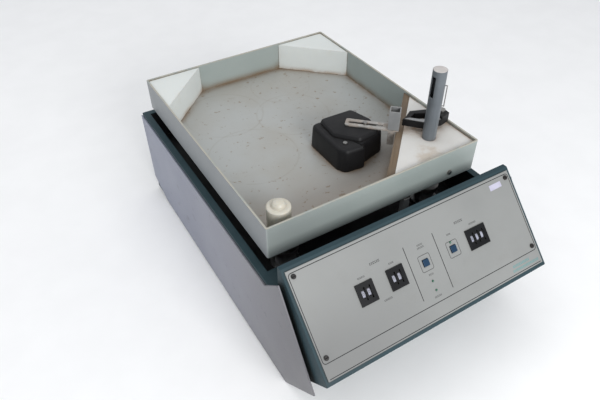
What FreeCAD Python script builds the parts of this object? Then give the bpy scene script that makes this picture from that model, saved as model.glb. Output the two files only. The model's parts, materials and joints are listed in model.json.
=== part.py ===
import FreeCAD, Part

import os
import re

import Sketcher
from FreeCAD import Placement, Rotation, Vector

# Laboratory orbital shaker with a sampling tray, after its own housing, tray and hidden drive.
# Row frame: X to the right, Y to the back, Z up, origin on the bench under the middle of the base.

doc = FreeCAD.newDocument("OrbitalShaker")
sheet = doc.addObject("Spreadsheet::Sheet", "Dims")

# Driving dimensions, in millimetres and degrees: name, value, meaning.
SIZES = [
    # tray
    ("tray_width", 330, "outer width of the tray"),
    ("tray_depth", 397.6, "outer depth of the tray"),
    ("tray_height", 48.8, "height of the tray wall"),
    ("tray_sheet", 2.5, "thickness of the tray wall"),
    ("tray_floor", 2, "thickness of the tray floor"),
    ("tray_corner", 3, "outer corner radius of the tray"),
    ("rim_level", 224, "height of the tray rim over the bench"),
    # housing
    ("tray_setback", 145.9, "from the console nose back to the tray front"),
    ("rear_margin", 14.9, "from the tray back to the end of the side plates"),
    ("back_recess", 3, "back wall inside the end of the side plates"),
    ("well_gap", 4.4, "tray side to the edge of the well"),
    ("flange_width", 9.9, "width of the flange round the well"),
    ("corner_flange", 30, "width of the flange's two front corners"),
    ("corner_reach", 35, "depth of the flange's two front corners"),
    ("flange_level", 161.3, "height of the housing's top flange"),
    ("shell_sheet", 1.5, "sheet thickness of the housing"),
    ("shell_gap", 0.2, "clearance between neighbouring sheets"),
    ("pan_level", 4, "underside of the base pan"),
    ("pan_wall", 20, "height of the base pan's upturned edge"),
    ("foot_radius", 11, "radius of a rubber foot"),
    ("foot_inset", 28, "foot centre in from the pan's edges"),
    # side plates
    ("cheek_sheet", 2, "thickness of a side plate"),
    ("cheek_level", 3, "bottom of the side plates"),
    ("cheek_drop", 5.8, "top of the side plate below the flange"),
    ("cheek_hook_run", 92.4, "nose to the top of the plate's front hook"),
    ("cheek_hook_level", 190.3, "height of the top of the front hook"),
    ("cheek_tip_run", 15.5, "nose to the plate's foremost point"),
    ("cheek_tip_level", 71.5, "height of the plate's foremost point"),
    ("cheek_rear_cut", 53, "length of the bottom rear bevel"),
    ("cheek_rear_rise", 22, "height of the bottom rear bevel"),
    # console
    ("console_step", 5.1, "console side inside the body side"),
    ("console_depth", 105, "nose to the back wall of the console"),
    ("console_top", 206, "height of the console's top ledge"),
    ("ledge_depth", 6.2, "depth of the top ledge"),
    ("panel_angle", 45, "slope of the panel"),
    ("under_angle", 45, "slope of the console's underside"),
    ("nose_lip", 2, "height of the nose edge"),
    ("notch_level", 30, "height of the notch over the base pan"),
    # control plate
    ("fascia_sheet", 1.5, "thickness of the control plate"),
    ("fascia_side_gap", 3.7, "control plate edge to the console side"),
    ("fascia_top_gap", 4.3, "control plate top to the fold of the ledge"),
    ("fascia_low_gap", 4.4, "control plate bottom to the nose"),
    ("panel_screw_side", 7.6, "panel screw in from the plate's side"),
    ("panel_screw_top", 8, "upper panel screws below the plate's top"),
    ("panel_screw_row", 97.4, "upper to lower row of panel screws"),
    ("panel_screw", 1.5, "radius of a panel screw"),
    ("panel_head", 3, "radius of a panel screw's head"),
    ("screw_gap", 0.2, "clearance of a screw in its hole"),
    ("control_row", 61.2, "middle of the controls below the plate's top"),
    # preset switches
    ("digit_pitch", 8, "width of one digit"),
    ("switch_cheek", 4.1, "end cheek of a preset switch"),
    ("switch_height", 26.3, "height of the switch frame"),
    ("switch_lip", 0.7, "overlap of the switch frame on the plate"),
    ("switch_proud", 1.5, "switch frame over the control plate"),
    ("switch_depth", 24, "depth of a switch behind the plate"),
    ("wheel_radius", 10.6, "radius of a digit wheel"),
    ("wheel_band", 4, "width of the digit band"),
    ("wheel_rim", 1.4, "width of the notched rim"),
    ("wheel_gap", 0.5, "clearance round a digit wheel"),
    ("wheel_proud", 0.8, "digit wheel over the switch frame"),
    ("band_drop", 1.4, "digit band below the notched rim"),
    ("digit_window", 9.2, "height of a digit window"),
    ("rim_window", 15.8, "height of the slot for a notched rim"),
    ("axle_radius", 1.5, "radius of the wheels' axle"),
    ("run_gap", 0.05, "radial running clearance"),
    # push buttons and lamps
    ("button_size", 8.6, "side of a square push button"),
    ("button_gap", 0.4, "clearance round a push button"),
    ("button_proud", 1.5, "button over the control plate"),
    ("button_skirt", 7, "button body behind the plate"),
    ("button_travel", 2, "travel of a push button"),
    ("stem_radius", 2.2, "radius of a button's stem"),
    ("lamp_radius", 1.5, "radius of an indicator lamp"),
    ("lamp_length", 7, "length of an indicator lamp"),
    ("board_drop", 30, "circuit board behind the console skin"),
    ("board_sheet", 1.6, "thickness of the circuit board"),
    # orbital drive
    ("orbit", 10, "radius of the tray's circular path"),
    ("deck_level", 108, "underside of the deck"),
    ("deck_sheet", 2, "thickness of the deck"),
    ("shaft_radius", 6, "radius of the main shaft and crank pin"),
    ("idler_radius", 4, "radius of an idler shaft and its pin"),
    ("idler_side", 120, "idler shafts from the middle, sideways"),
    ("idler_front", 150, "front idlers before the main shaft"),
    ("idler_back", 155, "rear idler behind the main shaft"),
    ("web_level", 134, "underside of the crank webs"),
    ("web_sheet", 8, "thickness of the crank webs"),
    ("pin_top", 168, "top of the crank pins"),
    ("main_bearing", 16, "outer radius of a main bearing"),
    ("main_bearing_width", 10, "width of a main bearing"),
    ("pin_bearing", 14, "outer radius of the crank pin bearing"),
    ("pin_bearing_width", 8, "width of the crank pin bearing"),
    ("idler_bearing", 11, "outer radius of an idler bearing"),
    ("idler_bearing_width", 7, "width of an idler bearing"),
    ("seat_gap", 0.02, "clearance of a bearing in its seat"),
    ("pulley_level", 117, "underside of both pulleys"),
    ("pulley_width", 12, "width of both pulleys"),
    ("crank_pulley", 40, "radius of the crank pulley"),
    ("motor_pulley", 13, "radius of the motor pulley"),
    ("motor_offset", 117.5, "motor shaft before the main shaft"),
    ("motor_radius", 30, "radius of the motor"),
    ("motor_length", 60, "length of the motor"),
    ("motor_shaft", 4, "radius of the motor shaft"),
    ("belt_sheet", 2, "thickness of the belt"),
    ("belt_width", 9, "width of the belt"),
    ("belt_gap", 0.3, "belt to pulley clearance"),
    ("carrier_sheet", 6, "thickness of the tray carrier"),
    ("carrier_border", 18, "carrier edge outside its idler pins"),
    ("boss_level", 150, "underside of the carrier's bosses"),
    ("boss_wall", 4, "wall of a boss outside its bearing"),
    ("post_side", 10, "side of the transit post"),
    ("post_x", 48, "transit post to the right of the middle"),
    ("transit_gap", 3, "transit post to tray clearance"),
    # corner blocks
    ("front_leg", 139.3, "leg of the front right block"),
    ("rear_leg", 87, "leg of the two rear blocks"),
    ("block_gap", 0.3, "block to tray wall clearance"),
    ("front_drop", 4, "front right block below the rim"),
    ("rear_drop", 2, "rear blocks below the rim"),
    ("board_width", 9.2, "thickness of the facing board"),
    ("wall_screw", 2, "radius of a tray screw"),
    ("wall_head", 3, "radius of a tray screw's head"),
    ("wall_head_height", 2.4, "height of a tray screw's head"),
    ("wall_screw_length", 16, "length of a tray screw in a block"),
    # tray fittings
    ("roller_radius", 15.5, "radius of the guide roller"),
    ("roller_side", 33.5, "roller axis in from the tray's left side"),
    ("roller_front", 30, "roller axis in from the tray's front"),
    ("roller_shoulder", 221, "height of the roller's shoulder"),
    ("roller_pin", 4, "radius of the roller pin"),
    ("pole_radius", 9.5, "radius of the round post"),
    ("pole_wall", 2, "wall of the round post"),
    ("pole_height", 104, "post above its block"),
    ("pole_socket", 14, "depth of the post's socket"),
    ("pole_side", 48.8, "post axis in from the tray's right side"),
    ("pole_front", 45.1, "post axis in from the tray's front"),
    ("window_width", 7, "width of the post's window"),
    ("window_height", 30, "height of the post's window"),
    ("window_top", 8, "post top to the window"),
    ("clip_wire", 0.7, "radius of the clip's wire"),
    ("clip_stand", 2.6, "clip's upright off the post"),
    ("clip_angle", 313.5, "turn of the clip's side of the post from the right"),
    # swing arm
    ("arm_side", 11, "arm pivot in from the tray's right side"),
    ("arm_front", 65.3, "arm pivot in from the tray's front"),
    ("arm_lift", 5, "arm over its block"),
    ("arm_height", 10, "height of the arm's prongs"),
    ("arm_block", 14, "height of the arm's end block"),
    ("arm_pin", 3, "radius of the arm's pivot screw"),
    ("arm_plate", 1.2, "thickness of the arm's strip"),
    # sampling head
    ("head_side", 162, "head's left face in from the tray's left side"),
    ("head_front", 80.3, "head's front face in from the tray's front"),
    ("head_height", 36, "height of the head housing"),
    ("lid_height", 6.6, "height of the lid"),
    ("bracket_lift", 0.3, "bracket over the lid"),
    ("bracket_sheet", 2, "thickness of the slotted bracket"),
    ("bracket_width", 17, "width of the slotted bracket"),
    ("bracket_length", 77, "length of the slotted bracket"),
    ("slot_width", 5, "width of the bracket's slot"),
    ("clamp_head", 3, "height of the clamp screw's head"),
    ("lid_head", 2, "height of a head screw's head"),
    ("slot_length", 50, "length of the bracket's slot"),
    ("bracket_travel", 8, "adjustment of the bracket"),
    ("socket_size", 15.5, "side of the square socket"),
    ("socket_wall", 1.5, "wall of the square socket"),
    ("socket_height", 29.5, "height of the square socket"),
    # rear panel
    ("inlet_x", 118, "mains inlet left of the middle"),
    ("inlet_level", 62, "height of the inlet module's middle"),
    ("inlet_width", 30, "width of the inlet module's flange"),
    ("inlet_height", 62, "height of the inlet module's flange"),
    ("rocker_width", 12, "width of the mains rocker"),
    ("rocker_height", 18.4, "height of the mains rocker"),
]
for row, (alias, size, meaning) in enumerate(SIZES, start=1):
    sheet.set(f"A{row}", meaning)
    sheet.set(f"B{row}", str(size))
    sheet.setAlias(f"B{row}", alias)
doc.recompute()

# Places and sizes worked out from the driving dimensions.
FORMULAS = {
    "half_depth": "(tray_setback + tray_depth + rear_margin) / 2",
    "nose_y": "-half_depth",
    "tray_side": "tray_width / 2",
    "tray_front": "nose_y + tray_setback",
    "tray_back": "tray_front + tray_depth",
    "tray_mid": "(tray_front + tray_back) / 2",
    "tray_bottom": "rim_level - tray_height",
    "floor_level": "tray_bottom + tray_floor",
    "inner_side": "tray_side - tray_sheet",
    "inner_front": "tray_front + tray_sheet",
    "inner_back": "tray_back - tray_sheet",
    "well_side": "tray_side + well_gap",
    "body_side": "well_side + flange_width",
    "body_back": "half_depth - back_recess",
    "body_front": "console_back + shell_gap",
    "console_back": "nose_y + console_depth",
    "console_side": "body_side - console_step",
    "slope_run": "console_depth - ledge_depth",
    "slope_length": "slope_run / cos(panel_angle)",
    "nose_top": "console_top - slope_run * tan(panel_angle)",
    "nose_bottom": "nose_top - nose_lip",
    "pan_front": "nose_y + (nose_bottom - pan_level) / tan(under_angle)",
    "pan_side": "body_side - shell_sheet - shell_gap",
    "pan_back": "body_back - shell_sheet - shell_gap",
    "fascia_side": "console_side - fascia_side_gap",
    "fascia_low": "slope_length - fascia_low_gap",
    "control_y": "-(fascia_top_gap + control_row)",
    "main_y": "tray_mid - orbit",
    "deck_top": "deck_level + deck_sheet",
    "motor_y": "main_y - motor_offset",
    "web_top": "web_level + web_sheet",
    "front_top": "rim_level - front_drop",
    "rear_top": "rim_level - rear_drop",
    "block_side": "inner_side - block_gap",
    "block_front": "inner_front + block_gap",
    "block_back": "inner_back - block_gap",
    "block_base": "floor_level + shell_gap",
    "pole_x": "tray_side - pole_side",
    "pole_y": "tray_front + pole_front",
    "pole_base": "front_top - pole_socket",
    "pole_top": "front_top + pole_height",
    "roller_x": "roller_side - tray_side",
    "roller_y": "tray_front + roller_front",
    "arm_x": "tray_side - arm_side",
    "arm_y": "tray_front + arm_front",
    "arm_level": "front_top + arm_lift",
    "head_x": "head_side - tray_side",
    "head_y": "tray_front + head_front",
    "head_top": "block_base + head_height",
    "lid_top": "head_top + lid_height",
    "bracket_level": "lid_top + bracket_lift",
    "bracket_top": "bracket_level + bracket_sheet",
}
WORD = re.compile(r"[a-z][a-z_0-9]*")
FUNCTIONS = {"sin", "cos", "tan", "sqrt"}


def expand(text):
    """Writes a formula of named sizes out as a FreeCAD expression on the sheet."""

    def swap(match):
        word = match.group(0)
        if word in FUNCTIONS:
            return word
        if word in FORMULAS:
            return "(" + expand(FORMULAS[word]) + ")"
        return "Dims." + word

    return WORD.sub(swap, str(text))


def value(text):
    return float(sheet.evalExpression(expand(text)))


def bind(obj, prop, text):
    obj.setExpression(prop, expand(text))
    return obj


def move(obj, x=0, y=0, z=0):
    """Binds an object's place, keeping its rotation."""
    for axis, text in zip("xyz", (x, y, z)):
        bind(obj, f"Placement.Base.{axis}", text)
    return obj


def span(low, high):
    return f"({high}) - ({low})"


def block(name, x, y, z):
    """A rectangular block between two values on each axis."""
    obj = doc.addObject("Part::Box", name)
    for prop, pair in zip(("Length", "Width", "Height"), (x, y, z)):
        bind(obj, prop, span(*pair))
    return move(obj, x[0], y[0], z[0])


def rod(name, radius, x, y, z, along="Z"):
    """A cylinder: the axis it lies along has two values, the other two have one."""
    obj = doc.addObject("Part::Cylinder", name)
    bind(obj, "Radius", radius)
    turn = {
        "X": Rotation(Vector(0, 1, 0), 90),
        "Y": Rotation(Vector(1, 0, 0), -90),
        "Z": Rotation(),
    }
    obj.Placement = Placement(Vector(), turn[along])
    low, high = {"X": x, "Y": y, "Z": z}[along]
    bind(obj, "Height", span(low, high))
    start = [pair[0] if isinstance(pair, tuple) else pair for pair in (x, y, z)]
    return move(obj, *start)


def rounded(name, obj, radius):
    """Rounds the four upright edges of a block."""
    soft = doc.addObject("Part::Fillet", name)
    soft.Base = obj
    soft.Edges = [(edge, value(radius), value(radius)) for edge in (1, 3, 5, 7)]
    return soft


def fuse(name, pieces):
    obj = doc.addObject("Part::MultiFuse", name)
    obj.Shapes = pieces
    return obj


def cut(name, base, *tools):
    obj = doc.addObject("Part::Cut", name)
    obj.Base = base
    obj.Tool = tools[0] if len(tools) == 1 else fuse(name + "_tools", list(tools))
    return obj


def group(name, pieces):
    """Identical pieces that share one node, each its own solid."""
    obj = doc.addObject("Part::Compound", name)
    obj.Links = pieces
    return obj


def sketch_on(body, name, plane, points, circles=()):
    """A closed outline on one of the body's own planes, each corner bound to the sheet."""
    sketch = body.newObject("Sketcher::SketchObject", name)
    face = [f for f in body.Origin.OriginFeatures if f.Role == plane][0]
    sketch.AttachmentSupport = (face, [""])
    sketch.MapMode = "FlatFace"
    corners = [Vector(value(u), value(v), 0) for u, v in points]
    count = len(corners)
    for i in range(count):
        sketch.addGeometry(Part.LineSegment(corners[i], corners[(i + 1) % count]))
    for i in range(count):
        sketch.addConstraint(Sketcher.Constraint("Coincident", i, 2, (i + 1) % count, 1))
    for i, (u, v) in enumerate(points):
        for kind, text, here in (("DistanceX", u, corners[i].x), ("DistanceY", v, corners[i].y)):
            number = sketch.addConstraint(Sketcher.Constraint(kind, -1, 1, i, 1, here))
            bind(sketch, f"Constraints[{number}]", text)
    for u, v, radius in circles:
        centre = Vector(value(u), value(v), 0)
        ring = sketch.addGeometry(Part.Circle(centre, Vector(0, 0, 1), value(radius)))
        for kind, text, here in (("DistanceX", u, centre.x), ("DistanceY", v, centre.y)):
            number = sketch.addConstraint(Sketcher.Constraint(kind, -1, 1, ring, 3, here))
            bind(sketch, f"Constraints[{number}]", text)
        number = sketch.addConstraint(Sketcher.Constraint("Radius", ring, value(radius)))
        bind(sketch, f"Constraints[{number}]", radius)
    return sketch


def prism(name, plane, points, length, circles=(), taper=0):
    """A sketched outline padded to a length: XY pads up, YZ pads to the right."""
    body = doc.addObject("PartDesign::Body", name)
    sketch = sketch_on(body, name + "_sketch", plane, points, circles)
    pad = body.newObject("PartDesign::Pad", name + "_pad")
    pad.Profile = sketch
    pad.TaperAngle = taper
    bind(pad, "Length", length)
    return body


def turned(name, points):
    """A profile of radius and height turned about the upright axis."""
    body = doc.addObject("PartDesign::Body", name)
    sketch = sketch_on(body, name + "_sketch", "XZ_Plane", points)
    revolution = body.newObject("PartDesign::Revolution", name + "_turn")
    revolution.Profile = sketch
    revolution.ReferenceAxis = (sketch, ["V_Axis"])
    revolution.Angle = 360
    return body


nodes = []


def node(label, obj):
    """Names a finished sub-part; its label is its file's name."""
    obj.Label = label
    nodes.append(obj)
    return obj


def on_panel(obj, x=0, y=0, z=0):
    """Lays an object modelled flat onto the sloped panel.

    Panel frame: origin on the console skin at the fold of the ledge, y up the slope, z out.
    """
    obj.Placement = Placement(Vector(), Rotation(Vector(1, 0, 0), value("panel_angle")))
    bind(obj, "Placement.Rotation.Angle", "panel_angle")
    up_y = f"({y}) * cos(panel_angle) - ({z}) * sin(panel_angle)"
    up_z = f"({y}) * sin(panel_angle) + ({z}) * cos(panel_angle)"
    return move(obj, x, f"nose_y + slope_run + {up_y}", f"console_top + {up_z}")


# ---- housing ------------------------------------------------------------------------------

base_pan = cut(
    "base_pan_shape",
    block(
        "pan_block",
        ("-pan_side", "pan_side"),
        ("pan_front + shell_gap", "pan_back"),
        ("pan_level", "pan_level + pan_wall"),
    ),
    block(
        "pan_hollow",
        ("-pan_side + shell_sheet", "pan_side - shell_sheet"),
        ("pan_front + shell_gap + shell_sheet", "pan_back - shell_sheet"),
        ("pan_level + shell_sheet", "pan_level + pan_wall + 1"),
    ),
)
node("base_pan", base_pan)

feet = []
for i, (side, end) in enumerate([(-1, 0), (1, 0), (-1, 1), (1, 1)]):
    foot = doc.addObject("Part::Cone", f"foot_{i}")
    bind(foot, "Radius1", "foot_radius - 1")
    bind(foot, "Radius2", "foot_radius")
    bind(foot, "Height", "pan_level")
    foot_y = "pan_back - foot_inset" if end else "pan_front + foot_inset"
    move(foot, f"{side} * (pan_side - foot_inset)", foot_y, 0)
    feet.append(foot)
node("rubber_feet", group("feet_group", feet))

body_outer = block(
    "body_outer",
    ("-body_side", "body_side"),
    ("body_front", "body_back"),
    ("pan_level", "flange_level"),
)
body_hollow = block(
    "body_hollow",
    ("-body_side + shell_sheet", "body_side - shell_sheet"),
    ("body_front - 1", "body_back - shell_sheet"),
    ("pan_level - 1", "flange_level - shell_sheet"),
)
well_opening = block(
    "well_opening",
    ("-well_side", "well_side"),
    ("body_front + corner_reach", "body_back - flange_width"),
    ("flange_level - 2 * shell_sheet", "flange_level + 1"),
)
well_front = block(
    "well_front",
    ("-well_side + corner_flange", "well_side - corner_flange"),
    ("body_front + flange_width", "body_front + corner_reach + 1"),
    ("flange_level - 2 * shell_sheet", "flange_level + 1"),
)
inlet_opening = block(
    "inlet_opening",
    ("-inlet_x - inlet_width / 2 + 2", "-inlet_x + inlet_width / 2 - 2"),
    ("body_back - 2 * shell_sheet", "body_back + 1"),
    ("inlet_level - inlet_height / 2 + 2", "inlet_level + inlet_height / 2 - 2"),
)
node("body_shell", cut("body_shape", body_outer, body_hollow, well_opening, well_front, inlet_opening))

cheek_outline = [
    ("half_depth", "flange_level - cheek_drop"),
    ("nose_y + cheek_hook_run + cheek_hook_level - flange_level + cheek_drop", "flange_level - cheek_drop"),
    ("nose_y + cheek_hook_run", "cheek_hook_level"),
    ("nose_y + cheek_tip_run", "cheek_tip_level"),
    ("nose_y + cheek_tip_run + cheek_tip_level - cheek_level", "cheek_level"),
    ("half_depth - cheek_rear_cut", "cheek_level"),
    ("half_depth", "cheek_level + cheek_rear_rise"),
]
for label, place in (("left_cheek", "-body_side - cheek_sheet"), ("right_cheek", "body_side")):
    cheek = prism(label + "_body", "YZ_Plane", cheek_outline, "cheek_sheet")
    node(label, move(cheek, place))

console_outer = prism(
    "console_outer",
    "YZ_Plane",
    [
        ("console_back", "notch_level"),
        ("console_back", "console_top"),
        ("nose_y + slope_run", "console_top"),
        ("nose_y", "nose_top"),
        ("nose_y", "nose_bottom"),
        ("pan_front", "pan_level"),
        ("pan_front", "notch_level"),
    ],
    "2 * console_side",
)
move(console_outer, "-console_side")
slope_drop = "shell_sheet / cos(panel_angle)"
under_rise = "shell_sheet / cos(under_angle)"
console_hollow = prism(
    "console_hollow",
    "YZ_Plane",
    [
        ("console_back - shell_sheet", "notch_level - 1"),
        ("console_back - shell_sheet", "console_top - shell_sheet"),
        (
            f"nose_y + slope_run + ({slope_drop} - shell_sheet) / tan(panel_angle)",
            "console_top - shell_sheet",
        ),
        ("nose_y + shell_sheet", f"nose_top + shell_sheet * tan(panel_angle) - {slope_drop}"),
        ("nose_y + shell_sheet", f"nose_bottom - shell_sheet * tan(under_angle) + {under_rise}"),
        ("pan_front - shell_sheet", f"pan_level + shell_sheet * tan(under_angle) + {under_rise}"),
        ("pan_front - shell_sheet", "notch_level - 1"),
    ],
    "2 * (console_side - shell_sheet)",
)
move(console_hollow, "-console_side + shell_sheet")

# Controls on the panel: middles to the right of centre; digits per preset switch.
SWITCHES = [("left", -87.3, 2), ("middle", -42.8, 2), ("right", 86.4, 3)]
BUTTONS = [("left", 1.6), ("right", 46.2)]
LAMPS = [(45.3, 52.3), (1.3, 85.1), (1.3, 96.9)]
for name, middle, digits in SWITCHES:
    FORMULAS[f"{name}_half"] = f"(digit_pitch * {digits} + 2 * switch_cheek) / 2"
skin_depth = "-2 * shell_sheet"
plate_top = "fascia_sheet + 1"
openings = []
for name, middle, digits in SWITCHES:
    openings.append(
        block(
            f"{name}_switch_opening",
            (f"{middle} - {name}_half + switch_lip", f"{middle} + {name}_half - switch_lip"),
            ("control_y - switch_height / 2 + switch_lip", "control_y + switch_height / 2 - switch_lip"),
            (skin_depth, plate_top),
        )
    )
for name, middle in BUTTONS:
    openings.append(
        block(
            f"{name}_button_opening",
            (f"{middle} - button_size / 2 - button_gap", f"{middle} + button_size / 2 + button_gap"),
            (
                "control_y - button_size / 2 - button_gap",
                "control_y + button_size / 2 + button_gap",
            ),
            (skin_depth, plate_top),
        )
    )
for i, (middle, down) in enumerate(LAMPS):
    openings.append(
        rod(
            f"lamp_opening_{i}",
            "lamp_radius + run_gap",
            middle,
            f"-(fascia_top_gap + {down})",
            (skin_depth, plate_top),
        )
    )
screw_places = [
    (
        f"{side} * (fascia_side - panel_screw_side)",
        f"-(fascia_top_gap + panel_screw_top + {row} * panel_screw_row)",
    )
    for side in (-1, 1)
    for row in (0, 1)
]
for i, (x, y) in enumerate(screw_places):
    openings.append(
        rod(f"panel_screw_opening_{i}", "panel_screw + screw_gap", x, y, (skin_depth, plate_top))
    )
panel_openings = on_panel(fuse("panel_openings", openings))
node("console_shell", cut("console_shape", console_outer, console_hollow, panel_openings))

fascia_block = block(
    "fascia_block",
    ("-fascia_side", "fascia_side"),
    ("-fascia_low", "-fascia_top_gap"),
    (0, "fascia_sheet"),
)
on_panel(fascia_block, "-fascia_side", "-fascia_low")
node("control_fascia", cut("fascia_shape", fascia_block, panel_openings))

panel_screws = []
for i, (x, y) in enumerate(screw_places):
    head = rod(f"panel_head_{i}", "panel_head", x, y, ("fascia_sheet", "fascia_sheet + 1.4"))
    shank = rod(f"panel_shank_{i}", "panel_screw", x, y, ("-5", "fascia_sheet + 0.5"))
    cross = block(
        f"panel_cross_{i}", (f"{x} - 2.4", f"{x} + 2.4"), (f"{y} - 0.4", f"{y} + 0.4"),
        ("fascia_sheet + 0.7", "fascia_sheet + 2"),
    )
    screw = cut(f"panel_screw_{i}", fuse(f"panel_screw_solid_{i}", [head, shank]), cross)
    panel_screws.append(on_panel(screw))
node("fascia_screws", group("fascia_screws_group", panel_screws))

# ---- preset switches, each with its digit wheels on one axle -------------------------------

FORMULAS["frame_top"] = "fascia_sheet + switch_proud"
FORMULAS["wheel_z"] = "frame_top + wheel_proud - wheel_radius"
FORMULAS["wheel_width"] = "wheel_band + wheel_rim"
for name, middle, digits in SWITCHES:
    half = f"{name}_half"
    frame = block(
        f"{name}_frame",
        (f"-{half}", half),
        ("-switch_height / 2", "switch_height / 2"),
        ("fascia_sheet", "frame_top"),
    )
    case = block(
        f"{name}_case",
        (f"-{half} + switch_lip + shell_gap", f"{half} - switch_lip - shell_gap"),
        (
            "-switch_height / 2 + switch_lip + shell_gap",
            "switch_height / 2 - switch_lip - shell_gap",
        ),
        ("-switch_depth", "frame_top - 0.4"),
    )
    hollows = []
    wheels_x = [f"({i} - {(digits - 1) / 2}) * digit_pitch" for i in range(digits)]
    for i, x in enumerate(wheels_x):
        wheel_half = "(wheel_width / 2 + wheel_gap)"
        hollows.append(
            block(
                f"{name}_bay_{i}",
                (f"{x} - {wheel_half}", f"{x} + {wheel_half}"),
                ("-wheel_radius - wheel_gap", "wheel_radius + wheel_gap"),
                ("-switch_depth - 1", "fascia_sheet - 0.1"),
            )
        )
        rim_start = f"{x} + wheel_band - wheel_width / 2"
        hollows.append(
            block(
                f"{name}_digit_window_{i}",
                (f"{x} - wheel_width / 2 - shell_gap", rim_start),
                ("-digit_window / 2", "digit_window / 2"),
                ("-2", "frame_top + 1"),
            )
        )
        hollows.append(
            block(
                f"{name}_rim_window_{i}",
                (f"{rim_start} - 0.3", f"{rim_start} + wheel_rim + 0.3"),
                ("-rim_window / 2", "rim_window / 2"),
                ("-2", "frame_top + 1"),
            )
        )
    hollow_case = cut(f"{name}_hollow_case", fuse(f"{name}_solid", [frame, case]), *hollows)
    axle = rod(
        f"{name}_axle",
        "axle_radius",
        (f"-{half} + 2 * switch_lip", f"{half} - 2 * switch_lip"),
        0,
        "wheel_z",
        along="X",
    )
    switch = fuse(f"{name}_switch", [hollow_case, axle])
    node(f"{name}_preset_switch", on_panel(switch, middle, "control_y"))
    for i, x in enumerate(wheels_x):
        band = rod(
            f"{name}_band_{i}",
            "wheel_radius - band_drop",
            ("-wheel_width / 2", "wheel_band - wheel_width / 2"),
            0,
            0,
            along="X",
        )
        rim = rod(
            f"{name}_rim_{i}",
            "wheel_radius",
            ("wheel_band - wheel_width / 2", "wheel_width / 2"),
            0,
            0,
            along="X",
        )
        bore = rod(
            f"{name}_bore_{i}", "axle_radius + run_gap", ("-wheel_width", "wheel_width"), 0, 0, along="X"
        )
        notch = rod(
            f"{name}_notch_{i}",
            "0.9",
            ("wheel_band - wheel_width / 2", "wheel_width"),
            0,
            "wheel_radius + 0.2",
            along="X",
        )
        notches = doc.addObject("Part::Compound", f"{name}_notches_{i}")
        ring = [notch]
        for step in range(1, 20):
            copy = doc.addObject("Part::Cylinder", f"{name}_notch_{i}_{step}")
            turn = Rotation(Vector(1, 0, 0), 18 * step)
            copy.Placement = Placement(Vector(), turn.multiply(Rotation(Vector(0, 1, 0), 90)))
            bind(copy, "Radius", "0.9")
            bind(copy, "Height", "wheel_width")
            sine = turn.multVec(Vector(0, 0, 1))
            reach = "(wheel_radius + 0.2)"
            move(
                copy,
                "wheel_band - wheel_width / 2",
                f"{sine.y:.9f} * {reach}",
                f"{sine.z:.9f} * {reach}",
            )
            ring.append(copy)
        notches.Links = ring
        wheel = cut(f"{name}_wheel_{i}", fuse(f"{name}_drum_{i}", [band, rim]), bore, notches)
        on_panel(wheel, f"{middle} + {x}", "control_y", "wheel_z")
        node(f"{name}_digit_wheel_{i + 1}", wheel)

# ---- push buttons, lamps and board ----------------------------------------------------------

switch_bodies = []
for name, middle in BUTTONS:
    cap = rounded(
        f"{name}_cap",
        block(
            f"{name}_cap_block",
            ("-button_size / 2", "button_size / 2"),
            ("-button_size / 2", "button_size / 2"),
            ("-button_skirt", "fascia_sheet + button_proud"),
        ),
        "0.8",
    )
    stem = rod(f"{name}_stem", "stem_radius", 0, 0, ("-button_skirt - 5", "-button_skirt + 1"))
    button = fuse(f"{name}_button_shape", [cap, stem])
    node(f"{name}_button", on_panel(button, middle, "control_y"))
    top = "-button_skirt - button_travel - 1"
    switch_body = cut(
        f"{name}_contact",
        block(f"{name}_contact_block", (-6, 6), (-6, 6), (f"{top} - 9", top)),
        rod(f"{name}_contact_well", "stem_radius + 0.4", 0, 0, (f"{top} - 7", f"{top} + 1")),
    )
    switch_bodies.append(on_panel(switch_body, middle, "control_y"))
node("button_switches", group("button_switches_group", switch_bodies))

lamps = []
for i, (middle, down) in enumerate(LAMPS):
    lens = rod(f"lamp_lens_{i}", "lamp_radius", 0, 0, ("-lamp_length", "fascia_sheet + 0.2"))
    dome = doc.addObject("Part::Sphere", f"lamp_dome_{i}")
    bind(dome, "Radius", "lamp_radius")
    move(dome, 0, 0, "fascia_sheet")
    collar = rod(f"lamp_collar_{i}", "lamp_radius + 0.4", 0, 0, ("-lamp_length", "-shell_sheet - 0.3"))
    lamp = fuse(f"lamp_{i}", [lens, dome, collar])
    lamps.append(on_panel(lamp, middle, f"-(fascia_top_gap + {down})"))
node("indicator_lamps", group("lamps_group", lamps))

board = block(
    "board_block",
    ("-fascia_side + 30", "fascia_side - 30"),
    ("control_y - 34", "control_y + 30"),
    ("-board_drop - board_sheet", "-board_drop"),
)
node("circuit_board", on_panel(board, "-fascia_side + 30", "control_y - 34", "-board_drop - board_sheet"))

# ---- deck and drive -------------------------------------------------------------------------

IDLERS = [
    ("left_idler_crank", "-idler_side", "main_y - idler_front"),
    ("right_idler_crank", "idler_side", "main_y - idler_front"),
    ("rear_idler_crank", "0", "main_y + idler_back"),
]
deck_side = "(body_side - shell_sheet - 4)"
deck_front = "(body_front + 5.7)"
deck_back = "(body_back - 5.7)"
deck_top_edge = "flange_level - shell_sheet - shell_gap"
deck_block = block(
    "deck_block", (f"-{deck_side}", deck_side), (deck_front, deck_back), ("deck_level", deck_top_edge)
)
deck_hollow = block(
    "deck_hollow",
    (f"-{deck_side} + shell_sheet", f"{deck_side} - shell_sheet"),
    (f"{deck_front} + shell_sheet", f"{deck_back} - shell_sheet"),
    ("deck_top", "flange_level"),
)
through = ("deck_level - 1", "deck_top + 1")
deck_holes = [rod("deck_main_hole", "main_bearing + 6.5", 0, "main_y", through)]
deck_holes.append(rod("deck_motor_hole", "motor_shaft + 4", 0, "motor_y", through))
for label, x, y in IDLERS:
    deck_holes.append(rod(f"deck_{label}_hole", "idler_bearing - 3", x, y, through))
node("deck_pan", cut("deck_shape", deck_block, deck_hollow, *deck_holes))

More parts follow.
